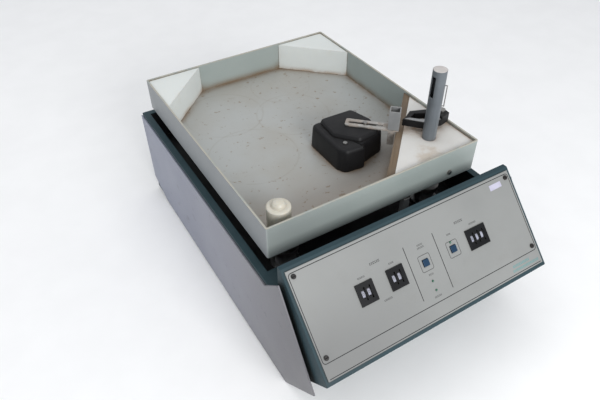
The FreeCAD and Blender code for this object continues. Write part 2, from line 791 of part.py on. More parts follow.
transit_post = block(
    "transit_post_shape",
    ("post_x - post_side / 2", "post_x + post_side / 2"),
    ("tray_front - 1", "tray_front - 1 + post_side"),
    ("deck_top", "tray_bottom - transit_gap"),
)
node("transit_post", rounded("transit_post_soft", transit_post, "1.5"))

hub_low = "deck_level - 40"
main_housing = cut(
    "main_housing_shape",
    fuse(
        "main_housing_solid",
        [
            rod("main_flange", "main_bearing + 18", 0, "main_y", ("deck_top", "deck_top + 4")),
            rod("main_hub", "main_bearing + 6", 0, "main_y", (hub_low, "deck_top + 4")),
        ],
    ),
    rod("main_seat", "main_bearing + seat_gap", 0, "main_y", (f"{hub_low} + 2", "deck_top + 5")),
    rod("main_hub_hole", "main_bearing - 4", 0, "main_y", (f"{hub_low} - 1", "deck_top + 5")),
)
node("main_bearing_housing", main_housing)

idler_housings = []
for label, x, y in IDLERS:
    idler_housings.append(
        cut(
            f"{label}_housing",
            fuse(
                f"{label}_housing_solid",
                [
                    rod(f"{label}_flange", "idler_bearing + 9", x, y, ("deck_top", "deck_top + 4")),
                    rod(f"{label}_hub", "idler_bearing + 3", x, y, ("deck_top", "web_level - 4")),
                ],
            ),
            rod(f"{label}_seat", "idler_bearing + seat_gap", x, y, ("deck_top + 1", "web_level")),
            rod(f"{label}_hole", "idler_bearing - 3", x, y, ("deck_top - 1", "web_level")),
        )
    )
node("idler_housings", group("idler_housings_group", idler_housings))


def bearing(name, outer, inner, width, x, y, z):
    """A ball bearing as one ring."""
    top = f"{z} + {width}"
    ring = rod(name + "_ring", outer, x, y, (z, top))
    hole = rod(name + "_bore", f"{inner} + run_gap", x, y, (f"{z} - 1", f"{top} + 1"))
    return cut(name, ring, hole)


shaft_bearings = [
    bearing(
        "lower_main", "main_bearing", "shaft_radius", "main_bearing_width", 0, "main_y", f"{hub_low} + 2"
    ),
    bearing(
        "upper_main", "main_bearing", "shaft_radius", "main_bearing_width", 0, "main_y",
        "deck_top + 4 - main_bearing_width",
    ),
]
for label, x, y in IDLERS:
    for place, z in (
        ("lower", "deck_top + 1"),
        ("upper", "web_level - 4 - idler_bearing_width"),
    ):
        shaft_bearings.append(
            bearing(f"{label}_{place}", "idler_bearing", "idler_radius", "idler_bearing_width", x, y, z)
        )
node("shaft_bearings", group("shaft_bearings_group", shaft_bearings))

main_crank = fuse(
    "main_crank_shape",
    [
        rod("main_shaft", "shaft_radius", 0, "main_y", (f"{hub_low} - 6", "web_level + 1")),
        rod("main_web", "shaft_radius + orbit + 6", 0, "main_y", ("web_level", "web_top")),
        rod("main_pin", "shaft_radius", 0, "main_y + orbit", ("web_top - 1", "pin_top")),
    ],
)
node("main_crank", main_crank)

pulley_top = "pulley_level + pulley_width"
crank_pulley = cut(
    "crank_pulley_shape",
    fuse(
        "crank_pulley_solid",
        [
            rod("crank_drum", "crank_pulley", 0, "main_y", ("pulley_level", pulley_top)),
            rod("crank_low_rim", "crank_pulley + 3.5", 0, "main_y", ("pulley_level", "pulley_level + 1")),
            rod("crank_top_rim", "crank_pulley + 3.5", 0, "main_y", (f"{pulley_top} - 1", pulley_top)),
        ],
    ),
    rod(
        "crank_pulley_bore",
        "shaft_radius + seat_gap",
        0,
        "main_y",
        ("pulley_level - 1", f"{pulley_top} + 1"),
    ),
)
node("crank_pulley", crank_pulley)

FORMULAS["weight_radius"] = "shaft_radius + orbit + 6"
weight_ring = cut(
    "weight_ring",
    rod("weight_disc", "weight_radius + 26", 0, "main_y", ("web_level", "web_top")),
    rod("weight_hole", "weight_radius + seat_gap", 0, "main_y", ("web_level - 1", "web_top + 1")),
)
weight_half = block(
    "weight_half",
    ("-weight_radius - 30", "weight_radius + 30"),
    ("main_y - weight_radius - 30", "main_y - 12"),
    ("web_level - 1", "web_top + 1"),
)
counterweight = doc.addObject("Part::Common", "counterweight_shape")
counterweight.Base = weight_ring
counterweight.Tool = weight_half
node("counterweight", counterweight)

for label, x, y in IDLERS:
    crank = fuse(
        f"{label}_shape",
        [
            rod(f"{label}_shaft", "idler_radius", x, y, ("deck_top - 6", "web_level + 1")),
            rod(f"{label}_web", "idler_radius + orbit + 4", x, y, ("web_level", "web_top")),
            rod(f"{label}_pin", "idler_radius", x, f"{y} + orbit", ("web_top - 1", "pin_top")),
        ],
    )
    node(label, crank)

motor_low = "deck_level - motor_length"
motor_plate = rounded(
    "motor_plate",
    block(
        "motor_plate_block",
        ("-motor_radius - 5", "motor_radius + 5"),
        ("motor_y - motor_radius - 5", "motor_y + motor_radius + 5"),
        ("deck_level - 4", "deck_level"),
    ),
    "5",
)
motor = cut(
    "motor_shape",
    fuse(
        "motor_solid",
        [motor_plate, rod("motor_can", "motor_radius", 0, "motor_y", (motor_low, "deck_level - 3"))],
    ),
    rod("motor_bore", "motor_shaft + run_gap", 0, "motor_y", ("deck_level - 16", "deck_level + 1")),
)
node("drive_motor", motor)

motor_pulley = fuse(
    "motor_pulley_shape",
    [
        rod("rotor_shaft", "motor_shaft", 0, "motor_y", ("deck_level - 15", "pulley_level + 1")),
        rod("motor_drum", "motor_pulley", 0, "motor_y", ("pulley_level", pulley_top)),
        rod("motor_low_rim", "motor_pulley + 3.5", 0, "motor_y", ("pulley_level", "pulley_level + 1")),
        rod("motor_top_rim", "motor_pulley + 3.5", 0, "motor_y", (f"{pulley_top} - 1", pulley_top)),
    ],
)
node("motor_pulley", motor_pulley)


def belt_shape():
    """A belt loop round both pulleys: two straight runs and two arcs."""
    big = value("crank_pulley + belt_gap")
    small = value("motor_pulley + belt_gap")
    far = value("motor_offset")
    centre = Vector(0, value("main_y"), value("pulley_level + (pulley_width - belt_width) / 2"))
    faces = []
    for thickness in (0, value("belt_sheet")):
        lean = (big - small) / far
        reach = (1 - lean * lean) ** 0.5
        right = Vector(reach, -lean, 0)
        left = Vector(-reach, -lean, 0)
        front = centre + Vector(0, -far, 0)
        wide = big + thickness
        slim = small + thickness
        big_arc = Part.Arc(centre + right * wide, centre + Vector(0, wide, 0), centre + left * wide)
        small_arc = Part.Arc(front + left * slim, front + Vector(0, -slim, 0), front + right * slim)
        runs = [
            Part.LineSegment(centre + left * wide, front + left * slim),
            Part.LineSegment(front + right * slim, centre + right * wide),
        ]
        edges = [big_arc, runs[0], small_arc, runs[1]]
        faces.append(Part.Face(Part.Wire([edge.toShape() for edge in edges])))
    return faces[1].cut(faces[0]).extrude(Vector(0, 0, value("belt_width")))


belt = doc.addObject("Part::Feature", "belt")
belt.Shape = belt_shape()
node("drive_belt", belt)

# ---- tray carrier ---------------------------------------------------------------------------

carrier_low = "(tray_bottom - carrier_sheet)"
carrier_plate = rounded(
    "carrier_plate",
    block(
        "carrier_block",
        ("-idler_side - carrier_border", "idler_side + carrier_border"),
        ("main_y + orbit - idler_front - carrier_border", "main_y + orbit + idler_back + carrier_border"),
        (carrier_low, "tray_bottom"),
    ),
    "12",
)
bosses = [
    rod(
        "main_boss", "pin_bearing + boss_wall", 0, "main_y + orbit", ("boss_level", f"{carrier_low} + 1")
    )
]
seats = [
    rod(
        "main_boss_seat",
        "pin_bearing + seat_gap",
        0,
        "main_y + orbit",
        ("boss_level - 1", "boss_level + pin_bearing_width + 2"),
    ),
    rod("main_boss_hole", "pin_bearing - 4", 0, "main_y + orbit", ("boss_level", f"{carrier_low} + 1")),
]
pin_bearings = [
    bearing(
        "crank_pin_bearing", "pin_bearing", "shaft_radius", "pin_bearing_width", 0, "main_y + orbit",
        "boss_level + 2",
    )
]
for label, x, y in IDLERS:
    y = f"{y} + orbit"
    bosses.append(
        rod(f"{label}_boss", "idler_bearing + boss_wall", x, y, ("boss_level", f"{carrier_low} + 1"))
    )
    seats.append(
        rod(
            f"{label}_boss_seat", "idler_bearing + seat_gap", x, y,
            ("boss_level - 1", "boss_level + idler_bearing_width + 2"),
        )
    )
    seats.append(rod(f"{label}_boss_hole", "idler_bearing - 4", x, y, ("boss_level", f"{carrier_low} + 1")))
    pin_bearings.append(
        bearing(
            f"{label}_pin_bearing", "idler_bearing", "idler_radius", "idler_bearing_width", x, y,
            "boss_level + 2",
        )
    )
node("carrier_bearings", group("carrier_bearings_group", pin_bearings))

# ---- tray ------------------------------------------------------------------------------------

# Tray screws: through the walls into the blocks (x, y, z of the outer wall face, axis, direction).
FORMULAS["screw_level"] = "rim_level - 36.3"
FORMULAS["rear_screw_level"] = "rim_level - 9"
WALL_SCREWS = [
    ("front", "tray_side - 45.7", "tray_front", "screw_level", "Y", 1),
    ("right_front", "tray_side", "tray_front + 63", "screw_level", "X", -1),
    ("right_rear", "tray_side", "tray_back - 36.5", "rear_screw_level", "X", -1),
    ("back_right", "tray_side - 50", "tray_back", "rear_screw_level", "Y", -1),
    ("back_left", "-tray_side + 50", "tray_back", "rear_screw_level", "Y", -1),
]
# Countersunk screws from the floor into the carrier, all of them under the blocks and the head.
FLOOR_SCREWS = [
    ("pole_x - 21", "pole_y - 7"),
    ("-block_side + 38", "block_back - 38"),
    ("block_side - 38", "block_back - 38"),
    ("head_x + 43", "head_y + 48"),
]


def along_wall(name, radius, screw, start, end):
    """A cylinder along a wall screw's axis, from start to end inwards from the outer face."""
    label, x, y, z, axis, way = screw
    near, far = sorted((start, end), key=lambda text: way * value(text))
    if axis == "X":
        return rod(name, radius, (f"{x} + {way} * ({near})", f"{x} + {way} * ({far})"), y, z, along="X")
    return rod(name, radius, x, (f"{y} + {way} * ({near})", f"{y} + {way} * ({far})"), z, along="Y")


tray_screws = []
wall_holes = []
block_holes = []
for screw in WALL_SCREWS:
    label = screw[0]
    head = along_wall(f"{label}_head", "wall_head", screw, "-wall_head_height", "0")
    shank = along_wall(f"{label}_shank", "wall_screw", screw, "-1", "tray_sheet + wall_screw_length")
    tray_screws.append(fuse(f"{label}_screw", [head, shank]))
    wall_holes.append(
        along_wall(f"{label}_wall_hole", "wall_screw + screw_gap", screw, "-1", "tray_sheet + 1")
    )
    block_holes.append(
        along_wall(
            f"{label}_block_hole", "wall_screw + run_gap", screw, "0", "tray_sheet + wall_screw_length + 2"
        )
    )
carrier_holes = []
for i, (x, y) in enumerate(FLOOR_SCREWS):
    head = doc.addObject("Part::Cone", f"floor_head_{i}")
    bind(head, "Radius1", "wall_screw")
    bind(head, "Radius2", "wall_screw + 1.9")
    bind(head, "Height", "1.9")
    move(head, x, y, "floor_level - 1.9")
    shank = rod(f"floor_shank_{i}", "wall_screw", x, y, (f"{carrier_low} - 2", "floor_level - 1"))
    tray_screws.append(fuse(f"floor_screw_{i}", [head, shank]))
    sink = doc.addObject("Part::Cone", f"floor_sink_{i}")
    bind(sink, "Radius1", "wall_screw + screw_gap")
    bind(sink, "Radius2", "wall_screw + screw_gap + 2.1")
    bind(sink, "Height", "2.1")
    move(sink, x, y, "floor_level - 2")
    wall_holes.append(sink)
    carrier_holes.append(
        rod(f"carrier_hole_{i}", "wall_screw + run_gap", x, y, (f"{carrier_low} - 1", "tray_bottom + 1"))
    )
node("tray_screws", group("tray_screws_group", tray_screws))
carrier_holes.append(
    rod("roller_relief", "roller_pin + 5", "roller_x", "roller_y", (f"{carrier_low} - 1", "tray_bottom + 1"))
)
carrier_solid = fuse("carrier_solid", [carrier_plate, *bosses])
node("tray_carrier", cut("carrier_shape", carrier_solid, *seats, *carrier_holes))

tray_outer = rounded(
    "tray_outer",
    block(
        "tray_block",
        ("-tray_side", "tray_side"),
        ("tray_front", "tray_back"),
        ("tray_bottom", "rim_level"),
    ),
    "tray_corner",
)
tray_hollow = rounded(
    "tray_hollow",
    block(
        "tray_hollow_block",
        ("-inner_side", "inner_side"),
        ("inner_front", "inner_back"),
        ("floor_level", "rim_level + 1"),
    ),
    "tray_corner - tray_sheet + 0.3",
)
roller_hole = rod(
    "roller_hole",
    "roller_pin + screw_gap",
    "roller_x",
    "roller_y",
    ("tray_bottom - 1", "floor_level + 1"),
)
node("tray_pan", cut("tray_shape", tray_outer, tray_hollow, roller_hole, *wall_holes))

front_block = prism(
    "front_block",
    "XY_Plane",
    [
        ("block_side", "block_front"),
        ("block_side", "block_front + front_leg"),
        ("block_side - front_leg", "block_front"),
    ],
    "front_top - block_base",
)
move(front_block, 0, 0, "block_base")
pole_seat = rod("pole_seat", "pole_radius + run_gap", "pole_x", "pole_y", ("pole_base", "front_top + 1"))
arm_seat = rod("arm_seat", "arm_pin + run_gap", "arm_x", "arm_y", ("front_top - 16", "front_top + 1"))
node("front_right_block", cut("front_block_shape", front_block, pole_seat, arm_seat, *block_holes[:2]))

back_left = prism(
    "back_left_prism",
    "XY_Plane",
    [
        ("-block_side", "block_back"),
        ("-block_side", "block_back - rear_leg"),
        ("-block_side + rear_leg", "block_back"),
    ],
    "rear_top - block_base",
)
move(back_left, 0, 0, "block_base")
node("back_left_block", cut("back_left_shape", back_left, block_holes[4]))

back_right = prism(
    "back_right_prism",
    "XY_Plane",
    [
        ("block_side", "block_back"),
        ("block_side - rear_leg", "block_back"),
        ("block_side", "block_back - rear_leg"),
    ],
    "rear_top - block_base",
)
move(back_right, 0, 0, "block_base")
node("back_right_block", cut("back_right_shape", back_right, block_holes[2], block_holes[3]))

# The board stands against the front block's long face, its ends cut to the tray walls.
board_near = "(front_leg + sqrt(2) * block_gap)"
board_far = "(front_leg + sqrt(2) * (block_gap + board_width))"
facing_board = prism(
    "facing_board_body",
    "XY_Plane",
    [
        (f"block_side - {board_near}", "block_front"),
        ("block_side", f"block_front + {board_near}"),
        ("block_side", f"block_front + {board_far}"),
        (f"block_side - {board_far}", "block_front"),
    ],
    "front_top - block_base",
)
node("facing_board", move(facing_board, 0, 0, "block_base"))

# ---- guide roller ----------------------------------------------------------------------------

FORMULAS["roller_base"] = "floor_level + 2.3"
roller_pin = fuse(
    "roller_pin_shape",
    [
        rod(
            "roller_pin_rod",
            "roller_pin",
            "roller_x",
            "roller_y",
            ("tray_bottom - 3", "roller_shoulder - 8"),
        ),
        rod(
            "roller_pin_collar",
            "roller_pin + 4",
            "roller_x",
            "roller_y",
            ("floor_level", "floor_level + 2"),
        ),
        rod("roller_pin_nut", "roller_pin + 3", "roller_x", "roller_y", ("tray_bottom - 4", "tray_bottom")),
    ],
)
node("roller_pin", roller_pin)
bore = "roller_pin + run_gap"
guide_roller = turned(
    "guide_roller_body",
    [
        (bore, 0),
        ("roller_radius - 1", 0),
        ("roller_radius", 1),
        ("roller_radius", "roller_shoulder - roller_base"),
        ("roller_radius - 1.6", "roller_shoulder - roller_base + 1.4"),
        ("roller_radius - 6", "roller_shoulder - roller_base + 1.8"),
        ("roller_radius - 6.8", "roller_shoulder - roller_base + 5"),
        ("roller_radius - 9", "roller_shoulder - roller_base + 7.6"),
        ("roller_radius - 12.5", "roller_shoulder - roller_base + 8.8"),
        (0, "roller_shoulder - roller_base + 9"),
        (0, "roller_shoulder - roller_base - 6"),
        (bore, "roller_shoulder - roller_base - 6"),
    ],
)
node("guide_roller", move(guide_roller, "roller_x", "roller_y", "roller_base"))

# ---- round post and clip ---------------------------------------------------------------------

window_high = "pole_top - window_top"
clip_ends = (("top", "pole_top - 21.6"), ("low", "pole_top - 52"))


def on_post(obj):
    """Turns a piece made about the upright axis to the clip's side of the round post."""
    obj.Placement = Placement(Vector(), Rotation(Vector(0, 0, 1), 0))
    bind(obj, "Placement.Rotation.Angle", "clip_angle")
    return move(obj, "pole_x", "pole_y")


clip_holes = []
for name, level in clip_ends:
    clip_holes.append(
        rod(f"clip_hole_{name}", "clip_wire + 0.1", (0, "pole_radius + 1"), 0, level, along="X")
    )
round_post = cut(
    "round_post_shape",
    rod("pole_outer", "pole_radius", "pole_x", "pole_y", ("pole_base", "pole_top")),
    rod("pole_inner", "pole_radius - pole_wall", "pole_x", "pole_y", ("pole_base - 1", "pole_top - 2")),
    block(
        "pole_window",
        ("pole_x - pole_radius - 1", "pole_x"),
        ("pole_y - window_width / 2", "pole_y + window_width / 2"),
        (f"{window_high} - window_height", window_high),
    ),
    on_post(fuse("clip_holes", clip_holes)),
)
node("round_post", round_post)
clip_run = "pole_radius + clip_stand"
clip_rods = [rod("clip_upright", "clip_wire", clip_run, 0, (clip_ends[1][1], clip_ends[0][1]))]
for name, level in clip_ends:
    clip_rods.append(
        rod(f"clip_{name}", "clip_wire", ("pole_radius - pole_wall - 1", clip_run), 0, level, along="X")
    )
    elbow = doc.addObject("Part::Sphere", f"clip_{name}_elbow")
    bind(elbow, "Radius", "clip_wire")
    clip_rods.append(move(elbow, clip_run, 0, level))
node("post_clip", on_post(fuse("post_clip_shape", clip_rods)))

# ---- swing arm -------------------------------------------------------------------------------

# Plan of the arm about its pivot: two prongs that meet in a point, and a boxy end block.
ARM_PLAN = [(-56, 17), (-50, 18.6), (-34, 28), (-11, 19), (7, 9), (6, -9), (-10, -13), (-36, -6.5)]
ARM_GAP = [(-46, 14), (-33, 20), (-12, 10.5), (-33.5, 1)]
STRIP_PLAN = [(-54, 16), (-46, 13.4), (-34, 0.6), (-12, -5.4), (-12, -11.6), (-36, -5.6)]
arm_prongs = prism("arm_prongs", "XY_Plane", ARM_PLAN, "arm_height")
arm_gap = prism("arm_gap_prism", "XY_Plane", ARM_GAP, "arm_height + 2")
move(arm_gap, 0, 0, "-1")
arm_end = prism("arm_end", "XY_Plane", [(-9, 17.5), (7, 9), (6, -9), (-10, -13)], "arm_block")
arm_bore = rod("arm_bore", "arm_pin + run_gap", 0, 0, ("-1", "arm_block + 1"))
swing_arm = cut("swing_arm_shape", fuse("swing_arm_solid", [arm_prongs, arm_end]), arm_gap, arm_bore)
node("swing_arm", move(swing_arm, "arm_x", "arm_y", "arm_level"))
arm_strip = prism("arm_strip_body", "XY_Plane", STRIP_PLAN, "arm_plate")
node("arm_strip", move(arm_strip, "arm_x", "arm_y", "arm_level + arm_height"))
arm_screw = fuse(
    "arm_screw_shape",
    [
        rod(
            "arm_screw_shank",
            "arm_pin",
            "arm_x",
            "arm_y",
            ("front_top - 15", "arm_level + arm_block + 0.5"),
        ),
        rod("arm_screw_collar", "arm_pin + 4", "arm_x", "arm_y", ("front_top", "arm_level - 0.3")),
        rod(
            "arm_screw_head", "arm_pin + 2", "arm_x", "arm_y",
            ("arm_level + arm_block + 0.3", "arm_level + arm_block + 2.8"),
        ),
    ],
)
node("arm_pivot_screw", arm_screw)

# ---- sampling head ---------------------------------------------------------------------------

# Plan of the head about its front left corner: a squarish body with a narrower nose.
HEAD_PLAN = [(1.5, 89), (1.5, 16), (8, 3), (39, 0), (42, 8), (85, 20), (87, 43), (80, 87)]
LID_PLAN = [(15, 84), (12, 42), (37, 12), (72, 15), (80, 46), (70, 82)]
head_body = prism("head_body", "XY_Plane", HEAD_PLAN, "head_height", taper=-3)
move(head_body, "head_x", "head_y", "block_base")
lid_body = prism("lid_body", "XY_Plane", LID_PLAN, "lid_height", taper=-18)
move(lid_body, "head_x", "head_y", "head_top")

# Bracket frame: u runs from the lid to the board, across the board's face; v along it.
SLIDE = Rotation(Vector(0, 0, 1), -45)
FORMULAS["bracket_x"] = "head_x + 42"
FORMULAS["bracket_y"] = "head_y + 55.6"
FORMULAS["clamp_run"] = "28.5"


def on_bracket(obj, level):
    obj.Placement = Placement(Vector(), SLIDE)
    return move(obj, "bracket_x", "bracket_y", level)


strap = rounded(
    "strap",
    block(
        "strap_block",
        (0, "bracket_length"),
        ("-bracket_width / 2", "bracket_width / 2"),
        (0, "bracket_sheet"),
    ),
    "3",
)
slot = rounded(
    "slot",
    block(
        "slot_block",
        (4, "4 + slot_length"),
        ("-slot_width / 2", "slot_width / 2"),
        ("-1", "bracket_sheet + 1"),
    ),
    "slot_width / 2 - 0.1",
)
tab = block("strap_tab", (62, 71), ("-bracket_width / 2", "-bracket_width / 2 + bracket_sheet"), (-22, 0.5))
bracket = fuse("bracket_solid", [cut("bracket_strap", strap, slot), tab])
node("slotted_bracket", on_bracket(bracket, "bracket_level"))
socket = cut(
    "socket_shape",
    block(
        "socket_outer",
        ("bracket_length - socket_size - 0.5", "bracket_length - 0.5"),
        ("-socket_size / 2", "socket_size / 2"),
        (0, "socket_height"),
    ),
    block(
        "socket_inner",
        ("bracket_length - socket_size - 0.5 + socket_wall", "bracket_length - 0.5 - socket_wall"),
        ("-socket_size / 2 + socket_wall", "socket_size / 2 - socket_wall"),
        ("socket_wall", "socket_height + 1"),
    ),
)
node("square_socket", on_bracket(socket, "bracket_top"))

# The front and back screws hold the head from its top; the clamp screw holds lid and bracket.
LID_SCREWS = [
    (
        "clamp",
        "bracket_x + clamp_run * cos(45)",
        "bracket_y - clamp_run * sin(45)",
        "bracket_top + 0.3",
        "clamp_head",
    ),
    ("front", "head_x + 18", "head_y + 21", "head_top", "lid_head"),
    ("back", "head_x + 75", "head_y + 79", "head_top", "lid_head"),
]
lid_screws = []
head_holes = []
lid_holes = []
for label, x, y, level, tall in LID_SCREWS:
    head = rod(f"{label}_lid_head", "wall_head", x, y, (level, f"{level} + {tall}"))
    shank = rod(f"{label}_lid_shank", "wall_screw", x, y, (f"{level} - 16", f"{level} + 1"))
    lid_screws.append(fuse(f"{label}_lid_screw", [head, shank]))
    head_holes.append(
        rod(f"{label}_lid_hole", "wall_screw + run_gap", x, y, (f"{level} - 18", f"{level} + 1"))
    )
    opening = "wall_screw + run_gap" if label == "clamp" else "wall_head + 1"
    lid_holes.append(rod(f"{label}_lid_opening", opening, x, y, ("head_top - 1", "lid_top + 1")))
node("head_screws", group("head_screws_group", lid_screws))
node("head_housing", cut("head_shape", head_body, *head_holes))
node("head_lid", cut("lid_shape", lid_body, *lid_holes))

# ---- mains side ------------------------------------------------------------------------------

transformer_core = block(
    "core",
    (-150, -84),
    ("body_back - 110", "body_back - 56"),
    ("pan_level + shell_sheet", "pan_level + shell_sheet + 56"),
)
transformer_coil = rounded(
    "coil",
    block(
        "coil_block", (-140, -94), ("body_back - 118", "body_back - 48"),
        ("pan_level + shell_sheet + 10", "pan_level + shell_sheet + 46"),
    ),
    "6",
)
node("transformer", fuse("transformer_shape", [transformer_core, transformer_coil]))

inlet_flange = block(
    "inlet_flange",
    ("-inlet_x - inlet_width / 2", "-inlet_x + inlet_width / 2"),
    ("body_back", "body_back + 1.6"),
    ("inlet_level - inlet_height / 2", "inlet_level + inlet_height / 2"),
)
inlet_body = block(
    "inlet_body",
    ("-inlet_x - inlet_width / 2 + 2.2", "-inlet_x + inlet_width / 2 - 2.2"),
    ("body_back - 26", "body_back + 1"),
    ("inlet_level - inlet_height / 2 + 2.2", "inlet_level + inlet_height / 2 - 2.2"),
)
plug_cavity = block(
    "plug_cavity",
    ("-inlet_x - 12", "-inlet_x + 12"),
    ("body_back - 14", "body_back + 3"),
    ("inlet_level - 25", "inlet_level - 8.5"),
)
FORMULAS["rocker_y"] = "body_back - 2.6"
FORMULAS["rocker_z"] = "inlet_level + 14"
rocker_bay = block(
    "rocker_bay",
    ("-inlet_x - rocker_width / 2 - 0.4", "-inlet_x + rocker_width / 2 + 0.4"),
    ("body_back - 16", "body_back + 3"),
    ("rocker_z - rocker_height / 2 - 1", "rocker_z + rocker_height / 2 + 1"),
)
rocker_pin_hole = rod(
    "rocker_pin_hole",
    "1.5 + run_gap",
    ("-inlet_x - rocker_width / 2 - 2", "-inlet_x + rocker_width / 2 + 2"),
    "rocker_y",
    "rocker_z",
    along="X",
)
inlet_shell = cut(
    "inlet_shell", fuse("inlet_solid", [inlet_flange, inlet_body]), plug_cavity, rocker_bay, rocker_pin_hole
)
contacts = []
for i, (x, z) in enumerate(((-7, -18.5), (0, -14.5), (7, -18.5))):
    contacts.append(
        block(
            f"inlet_contact_{i}",
            (f"-inlet_x + {x} - 1", f"-inlet_x + {x} + 1"),
            ("body_back - 15", "body_back - 4"),
            (f"inlet_level + {z} - 2", f"inlet_level + {z} + 2"),
        )
    )
node("power_inlet", fuse("inlet_shape", [inlet_shell, *contacts]))

rocker_profile = prism(
    "rocker_profile",
    "YZ_Plane",
    [
        (-5, "-rocker_height / 2 + 1.5"),
        (4.2, "-rocker_height / 2"),
        (3, 0),
        (4.2, "rocker_height / 2"),
        (-5, "rocker_height / 2 - 1.5"),
    ],
    "rocker_width",
)
move(rocker_profile, "-rocker_width / 2")
rocker_pin = rod("rocker_pin", "1.5", ("-rocker_width / 2 - 1.6", "rocker_width / 2 + 1.6"), 0, 0, along="X")
rocker = fuse("rocker_shape", [rocker_profile, rocker_pin])
rocker.Placement = Placement(Vector(), Rotation(Vector(1, 0, 0), -8))
node("mains_rocker", move(rocker, "-inlet_x", "rocker_y", "rocker_z"))

# ---- checks and export -----------------------------------------------------------------------

doc.recompute()
for obj in doc.Objects:
    if "Invalid" in obj.State or "Error" in obj.State:
        raise RuntimeError(f"{obj.Name} failed: {obj.State}")
os.makedirs("parts", exist_ok=True)
for obj in nodes:
    shape = obj.Shape
    if shape.isNull() or not shape.isValid() or not shape.Solids:
        raise RuntimeError(f"{obj.Label} has no valid solid")
for obj in nodes:
    obj.Shape.exportStep(f"parts/{obj.Label}.step")
print(len(nodes), "sub-parts,", sum(len(obj.Shape.Solids) for obj in nodes), "solids")
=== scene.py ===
# %% [markdown]
# # A laboratory shaker with its sampling tray
# The machine is a folded steel housing with a deep open tray that runs round a small circle on a
# hidden crank drive. The solid model already holds every piece at its real size, so this lesson
# loads it as a fixed frame and spends its effort on finishes and on the fine pieces that a solid
# model leaves out: printed lines, figures on the preset wheels, stains and wear.

# %% Load the frame
import json
import math
import random

import bmesh
import bpy
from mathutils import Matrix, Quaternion, Vector


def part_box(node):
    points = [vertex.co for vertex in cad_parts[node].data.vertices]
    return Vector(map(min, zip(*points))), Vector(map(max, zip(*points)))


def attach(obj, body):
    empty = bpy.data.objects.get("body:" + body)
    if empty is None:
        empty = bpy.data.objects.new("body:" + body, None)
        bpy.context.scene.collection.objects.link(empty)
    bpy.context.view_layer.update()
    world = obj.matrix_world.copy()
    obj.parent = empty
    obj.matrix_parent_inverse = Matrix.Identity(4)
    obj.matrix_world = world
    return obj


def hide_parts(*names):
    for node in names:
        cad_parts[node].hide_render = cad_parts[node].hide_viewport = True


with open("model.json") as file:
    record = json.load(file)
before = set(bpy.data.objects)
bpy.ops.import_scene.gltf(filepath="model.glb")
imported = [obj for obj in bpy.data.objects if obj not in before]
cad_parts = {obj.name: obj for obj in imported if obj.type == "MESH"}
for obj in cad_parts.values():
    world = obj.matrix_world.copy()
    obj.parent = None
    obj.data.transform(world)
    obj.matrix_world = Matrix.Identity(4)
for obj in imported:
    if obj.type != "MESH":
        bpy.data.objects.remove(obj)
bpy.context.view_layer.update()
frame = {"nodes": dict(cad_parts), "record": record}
nodes = frame["nodes"]
scene = bpy.context.scene
MM = 0.001

# %% [markdown]
# ## Camera
# The machine is seen from its left front corner and from above, close up, so the near edges
# look larger than the far ones. A 34 mm lens gives that. The camera gets a tiny roll, because a
# hand-held camera is never quite level.

# %% Camera
camera_data = bpy.data.cameras.new("camera")
camera_data.sensor_width = 36
camera_data.lens = 33.71
camera_data.clip_start = 0.01
camera = bpy.data.objects.new("camera", camera_data)
scene.collection.objects.link(camera)
scene.camera = camera
azimuth, elevation, roll = (math.radians(v) for v in (-30.768, 41.663, -0.681))
towards_camera = Vector(
    (
        math.sin(azimuth) * math.cos(elevation),
        -math.cos(azimuth) * math.cos(elevation),
        math.sin(elevation),
    )
)
camera.location = (-0.3639, -0.5442, 0.6736)
camera.rotation_mode = "QUATERNION"
camera.rotation_quaternion = (-towards_camera).to_track_quat("-Z", "Y") @ Quaternion((0, 0, 1), roll)
print("camera", [round(v, 3) for v in camera.location])

# %% [markdown]
# ## Floor and light
# The light is even and casts little shadow. A pale world gives most of it, and three large soft
# lamps add direction: one overhead behind the machine that brightens whatever faces up, one
# from the left for the side plate and one low in front for the panel.

# %% Floor and light
scene.view_settings.view_transform = "Standard"
world = bpy.data.worlds.new("studio")
world.use_nodes = True
world.node_tree.nodes["Background"].inputs["Color"].default_value = (0.95, 0.97, 1.0, 1)
world.node_tree.nodes["Background"].inputs["Strength"].default_value = 0.70
scene.world = world


def soft_lamp(name, place, target, size, power):
    lamp = bpy.data.lights.new(name, "AREA")
    lamp.shape = "RECTANGLE"
    lamp.size, lamp.size_y = size
    lamp.energy = power
    holder = bpy.data.objects.new(name, lamp)
    holder.location = place
    holder.rotation_mode = "QUATERNION"
    holder.rotation_quaternion = (Vector(target) - Vector(place)).to_track_quat("-Z", "Y")
    scene.collection.objects.link(holder)


soft_lamp("overhead_lamp", place=(-0.4, 0.7, 1.7), target=(0, 0, 0.15), size=(1.4, 1.2), power=5)
soft_lamp("left_lamp", place=(-1.5, 0.6, 1.1), target=(0, 0, 0.15), size=(1.0, 1.0), power=0.9)
soft_lamp("front_lamp", place=(-0.1, -1.8, 1.0), target=(0, -0.1, 0.15), size=(0.9, 0.7), power=25)

FLOOR_REACH = 6
floor_corners = [(x * FLOOR_REACH, y * FLOOR_REACH, 0) for x, y in ((-1, -1), (1, -1), (1, 1), (-1, 1))]
floor_mesh = bpy.data.meshes.new("studio_floor")
floor_mesh.from_pydata(floor_corners, [], [(0, 1, 2, 3)])
studio_floor = bpy.data.objects.new("studio_floor", floor_mesh)
scene.collection.objects.link(studio_floor)

# %% [markdown]
# ## Helpers for shader nodes
# Every finish below is built from the same few moves: place a node, set its values, join two
# sockets, mix two colours by a mask. Small helpers keep each material short enough to read.

# %% Node helpers
def add_node(tree, kind, **values):
    """Places a node and sets the named properties on it."""
    made = tree.nodes.new(kind)
    for key, setting in values.items():
        setattr(made, key, setting)
    return made


